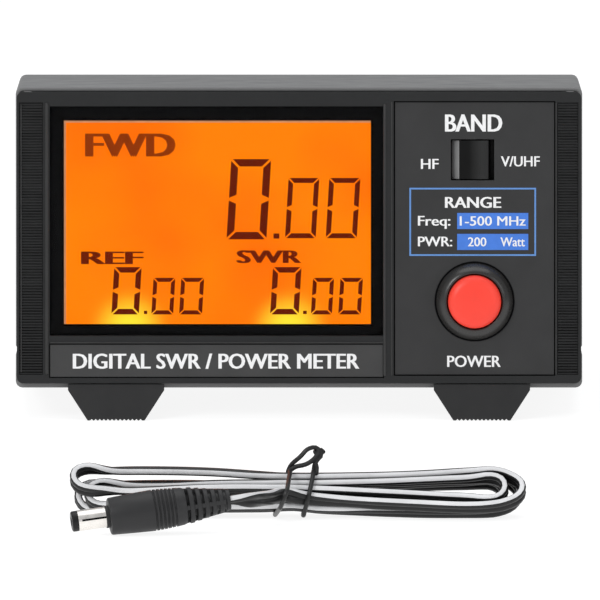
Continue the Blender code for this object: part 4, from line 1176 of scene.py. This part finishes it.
def settled(line):
    """The two cores' centrelines after the cord has come to rest: as long as it was, apart from
    itself, on the floor, no bend too tight and gathered by its tie."""
    count = len(line)
    aside = np.tile(np.array(OUTWARDS), (count, 1))
    sway = SIDE_TURN + SWAY * np.sin(np.arange(count) * STATION / SWAY_LENGTH)
    aside += np.outer(sway, np.array(ACROSS))
    aside /= np.linalg.norm(aside, axis=1)[:, None]
    points = np.concatenate([line - aside * CORE / 2, line + aside * CORE / 2])
    held = np.concatenate([np.arange(3), count + np.arange(3)])
    fixed = points[held].copy()
    station = np.concatenate([np.arange(count)] * 2)
    tie_middle = np.array(laid(TIE_X, 0, 0))

    links = []
    for parity in (0, 1):
        one = np.arange(parity, count - 1, 2)
        along = np.concatenate([one, one + count])
        links.append((along, along + 1, STATION))
        links.append((one, one + 1 + count, math.hypot(STATION, CORE)))
        links.append((one + 1, one + count, math.hypot(STATION, CORE)))
    links.append((np.arange(count), np.arange(count) + count, CORE))
    far = 4
    chord = 2 * TIGHTEST * math.sin(far * STATION / 2 / TIGHTEST)
    bends = np.concatenate([np.arange(count - far), count + np.arange(count - far)])

    def push(first, second, wanted, strength):
        gap = points[second] - points[first]
        length = np.maximum(np.sqrt((gap * gap).sum(1)), 1e-9)
        move = gap * ((length - wanted) / length * strength / 2)[:, None]
        np.add.at(points, first, move)
        np.subtract.at(points, second, move)

    for step in range(SETTLING):
        if step % WATCH_EVERY == 0:
            gaps = points[:, None] - points[None]
            near = (gaps * gaps).sum(2) < (CORE + NEIGHBOUR) ** 2
            near &= np.abs(station[:, None] - station[None]) > 3
            one, two = np.nonzero(np.triu(near))
        points[:, 2] -= SINKING
        apart = points[two] - points[one]
        close = (apart * apart).sum(1) < (CORE + CLEARANCE) ** 2
        push(one[close], two[close], CORE + CLEARANCE, APART_SHARE)
        first, second = bends, bends + far
        short = ((points[second] - points[first]) ** 2).sum(1) < chord**2
        push(first[short], second[short], chord, BEND_SHARE)
        for first, second, wanted in links:
            push(first, second, wanted, LINK_SHARE)
        from_tie = points - tie_middle
        gathered = np.abs(from_tie[:, 0]) < TIE_REACH
        out = np.hypot(from_tie[:, 1], from_tie[:, 2])
        pull = gathered & (out > TIE_HOLD - CORE / 2)
        over = (1 - (TIE_HOLD - CORE / 2) / out[pull])[:, None]
        points[pull, 1:] -= from_tie[pull, 1:] * over * TIE_SHARE
        floor = np.where(gathered, CORE / 2 + TIE_LIFT, CORE / 2)
        points[:, 2] = np.maximum(points[:, 2], floor)
        points[held] = fixed
    cores = [points[:count], points[count:]]
    for _ in range(2):
        for core in cores:
            core[1:-1] = core[:-2] * 0.25 + core[1:-1] * 0.5 + core[2:] * 0.25
    return cores


RING_SPACING = 1.5 * MM
CORE_SIDES = 14
STRIPE_HALF = math.radians(26)  # how much of the striped core's outer side is white
VALLEY = math.radians(22)  # where the two cores' skins meet, from each core's own side


def make_cord():
    """The flat two-core cord: a tube of a figure-of-eight section, one core striped white."""
    black_core, striped_core = settled(smooth_curve(route(), STATION))
    both = evenly(np.hstack([(black_core + striped_core) / 2, striped_core - black_core]), RING_SPACING)
    centres, aside = both[:, :3], both[:, 3:]
    ahead = np.gradient(centres, axis=0)
    ahead /= np.linalg.norm(ahead, axis=1)[:, None]
    aside -= ahead * (aside * ahead).sum(1)[:, None]
    aside /= np.linalg.norm(aside, axis=1)[:, None]
    thin = np.cross(ahead, aside)

    angles = np.linspace(-math.pi + VALLEY, math.pi - VALLEY, CORE_SIDES)
    section = [(CORE / 2 * (1 + math.cos(a)), CORE / 2 * math.sin(a)) for a in angles]
    section += [(-across, -out) for across, out in section]
    striped = {i for i in range(CORE_SIDES - 1) if abs(angles[i] + angles[i + 1]) / 2 < STRIPE_HALF}

    work = bmesh.new()
    rings = [
        [work.verts.new(Vector(centre + side * across + face * out)) for across, out in section]
        for centre, side, face in zip(centres, aside, thin)
    ]
    size = len(section)
    for ring, following in zip(rings, rings[1:]):
        for i in range(size):
            j = (i + 1) % size
            wall = work.faces.new((ring[i], ring[j], following[j], following[i]))
            wall.material_index = int(i in striped)
    work.faces.new(rings[0][::-1])
    work.faces.new(rings[-1])
    cord = show("power_cord", mesh_of(work, smooth_angle=60), ["cord_vinyl", "cord_stripe"],
                place=AS_PACKED, stands_for=["cord_hank"])
    return cord, centres, (black_core, striped_core)


power_cord, cord_centres, cord_cores = make_cord()


def hull(points):
    """The convex outline round flat points."""
    points = sorted({(round(y, 7), round(z, 7)) for y, z in points})

    def half(ordered):
        chain = []
        for point in ordered:
            while len(chain) > 1 and (
                (chain[-1][0] - chain[-2][0]) * (point[1] - chain[-2][1])
                - (chain[-1][1] - chain[-2][1]) * (point[0] - chain[-2][0])
            ) <= 0:
                chain.pop()
            chain.append(point)
        return chain[:-1]

    return half(points) + half(points[::-1])


TIE_RADIUS = 0.62 * MM
TIE_STEPS = 40


def around_bundle(x, slant):
    """A tie's turn close round the bundle at x; its top leans to the right by the slant."""
    cores = np.vstack(cord_cores)
    near = cores[np.abs(cores[:, 0] - HANK_MIDDLE.x - x) < 4.5 * MM]
    outline = hull([(y, z) for _, y, z in near])
    middle_z = sum(z for _, z in outline) / len(outline)
    off = CORE / 2 + TIE_RADIUS
    turn = []
    for i in range(TIE_STEPS):
        angle = math.tau * i / TIE_STEPS
        out = (-math.sin(angle), math.cos(angle))  # from the top towards the front
        y, z = max(outline, key=lambda point: point[0] * out[0] + point[1] * out[1])
        z = max(z + out[1] * off, TIE_RADIUS)
        lean = slant * (z - middle_z)
        turn.append(Vector((HANK_MIDDLE.x + x + lean, y + out[0] * off, z)))
    return turn


def make_tie():
    """The wire tie: two slanted turns round the bundle and its twisted tail."""
    work = bmesh.new()
    left = around_bundle(-4.2 * MM, 0.34)
    right = around_bundle(2.6 * MM, 0.24)
    for turn in (left, right):
        tube(work, turn, TIE_RADIUS, sides=10, closed=True)

    def beside(anchor, *places):
        return [anchor + Vector(place) * MM for place in places]

    start, end = left[0], right[0]
    loops = (
        beside(start, (-0.6, 0.3, -0.5), (0.2, 0.2, 1.2)) + beside(
            end, (-3.6, 0, 3.6), (-1.6, 0.1, 5.6), (0.4, 0.3, 6.0), (1.6, 0.2, 5.0),
            (1.9, -0.1, 3.9), (1.0, -0.5, 3.0), (0.2, -0.3, 1.6), (-0.1, 0.2, -0.4),
        ),
        beside(start, (-0.4, -0.9, -0.3), (1.4, -0.9, 0.9)) + beside(
            end, (-2.4, -0.9, 1.6), (-0.6, -0.9, 2.6), (0.9, -0.6, 4.2), (1.4, 0.4, 5.5), (2.4, 0.6, 4.8),
        ),
        beside(
            end, (0.6, -0.6, -0.8), (0.7, -0.8, 1.0), (0.2, -0.2, 2.4), (0.9, 0.5, 3.6), (0.3, 0.7, 4.8),
        ),
    )
    for loop in loops:
        line = smooth_curve(np.array([list(stop) for stop in loop]), 0.8 * MM)
        tube(work, line, TIE_RADIUS, sides=10)
    return show("wire_tie", mesh_of(work), "tie_vinyl", place=AS_PACKED,
                stands_for=["cord_tie"])


PLUG_TURN = (-PLUG_HEADING).to_track_quat("Z", "Y").to_matrix().to_4x4()
PLUG_PLACE = Matrix.Translation(PLUG_TIP) @ PLUG_TURN
# The plug's profiles, as (radius, distance behind the tip) in millimetres.
GRIP_FRONT = ((0, 9.0), (2.95, 9.0), (2.95, 10.0), (4.45, 10.0), (4.75, 10.12), (4.9, 10.45), (5.2, 16.0))
GRIP_REAR = ((5.0, 28.4), (4.9, 29.4), (4.6, 30.2), (3.1, 30.5), (2.9, 34.0), (2.35, 41.6), (0, 41.6))
GRIP_COLLAR = ((2.15, 41.0), (2.75, 41.0), (2.8, 41.3), (2.7, 42.0), (2.15, 42.0))
BARREL = ((1.25, 1.7), (2.72, 1.7), (2.75, 1.9), (2.75, 10.4), (1.25, 10.4))
TIP_RING = ((1.2, 0.12), (1.35, 0.0), (2.35, 0.0), (2.65, 0.22), (2.7, 0.5), (2.7, 1.7), (1.2, 1.7))
GROOVE_START, GROOVE_PITCH, GROOVES = 21.2, 1.05, 6
RELIEF_SPINE = 0.55 * MM  # half the thickness of the ribs that join the relief's rings
RELIEF_RINGS = ((31.6, 4.75), (33.6, 4.35), (35.6, 3.95), (37.6, 3.55), (39.6, 3.2))


def make_plug_grip():
    """The moulded grip: smooth, then fine grooves, then a slotted and tapered strain relief."""
    work = bmesh.new()
    profile = list(GRIP_FRONT)
    for i in range(GROOVES):
        start = GROOVE_START + i * GROOVE_PITCH
        proud = 5.42 - 0.012 * i * i
        profile += [(proud, start), (proud, start + 0.5), (proud - 0.3, start + 0.62),
                    (proud - 0.3, start + 0.9), (proud, start + 1.0)]
    lathe(work, in_pairs(*profile, *GRIP_REAR), PLUG_PLACE, 56, closed=False)
    for along, radius in RELIEF_RINGS:
        lathe(work, in_pairs((2.2, along - 0.62), (radius - 0.2, along - 0.62), (radius, along - 0.45),
                             (radius - 0.06, along + 0.45), (radius - 0.25, along + 0.62),
                             (2.2, along + 0.62)), PLUG_PLACE, 40)
    lathe(work, in_pairs(*GRIP_COLLAR), PLUG_PLACE, 40)
    for side in (-1, 1):
        spine = [(side * 2.2, 29.8), (side * 4.62, 29.8), (side * 3.05, 40.8), (side * 2.0, 40.8)]
        for height in (-1, 1):
            first = len(work.verts)
            prism(work, in_pairs(*spine), -RELIEF_SPINE, RELIEF_SPINE, along="X")
            work.verts.ensure_lookup_table()
            for vertex in work.verts[first:]:
                x, y, z = vertex.co
                vertex.co = PLUG_PLACE @ (Vector((x, y, z)) if height > 0 else Vector((y, x, z)))
    return show("plug_moulding", mesh_of(work, smooth_angle=40), "plug_vinyl",
                place=AS_PACKED, stands_for=["plug_grip"])


SLIT_RADIUS, SLIT_ENDS, SLIT_HALF = 2.77, (2.6, 10.3), math.radians(5.5)


def make_plug_contact():
    """The hollow contact barrel, with a black strip along it, painted shade standing for its slit, and its
    insulating tip ring.
    """
    work = bmesh.new()
    lathe(work, in_pairs(*BARREL), PLUG_PLACE, 56)
    toward = PLUG_PLACE.inverted().to_3x3() @ Vector((0, -1, 0.12))
    middle = math.atan2(toward.y, toward.x)
    corners = []
    for along in SLIT_ENDS:
        for angle in (middle - SLIT_HALF, middle, middle + SLIT_HALF):
            corner = Vector((SLIT_RADIUS * math.cos(angle), SLIT_RADIUS * math.sin(angle), along)) * MM
            corners.append(work.verts.new(PLUG_PLACE @ corner))
    # The black strip is painted shade standing for the slit.
    for i in (0, 1):
        work.faces.new((corners[i], corners[i + 1], corners[i + 4], corners[i + 3])).material_index = 1
    barrel = show("plug_contact", mesh_of(work, smooth_angle=40), ["plug_nickel", "mask_black"],
                  place=AS_PACKED, stands_for=["plug_barrel"])
    work = bmesh.new()
    lathe(work, in_pairs(*TIP_RING), PLUG_PLACE, 56)
    ring = show("plug_tip", mesh_of(work), "black_plastic", place=AS_PACKED,
                stands_for=["plug_tip_ring"])
    return [barrel, ring]


wire_tie = make_tie()
plug_pieces = [make_plug_grip(), *make_plug_contact()]
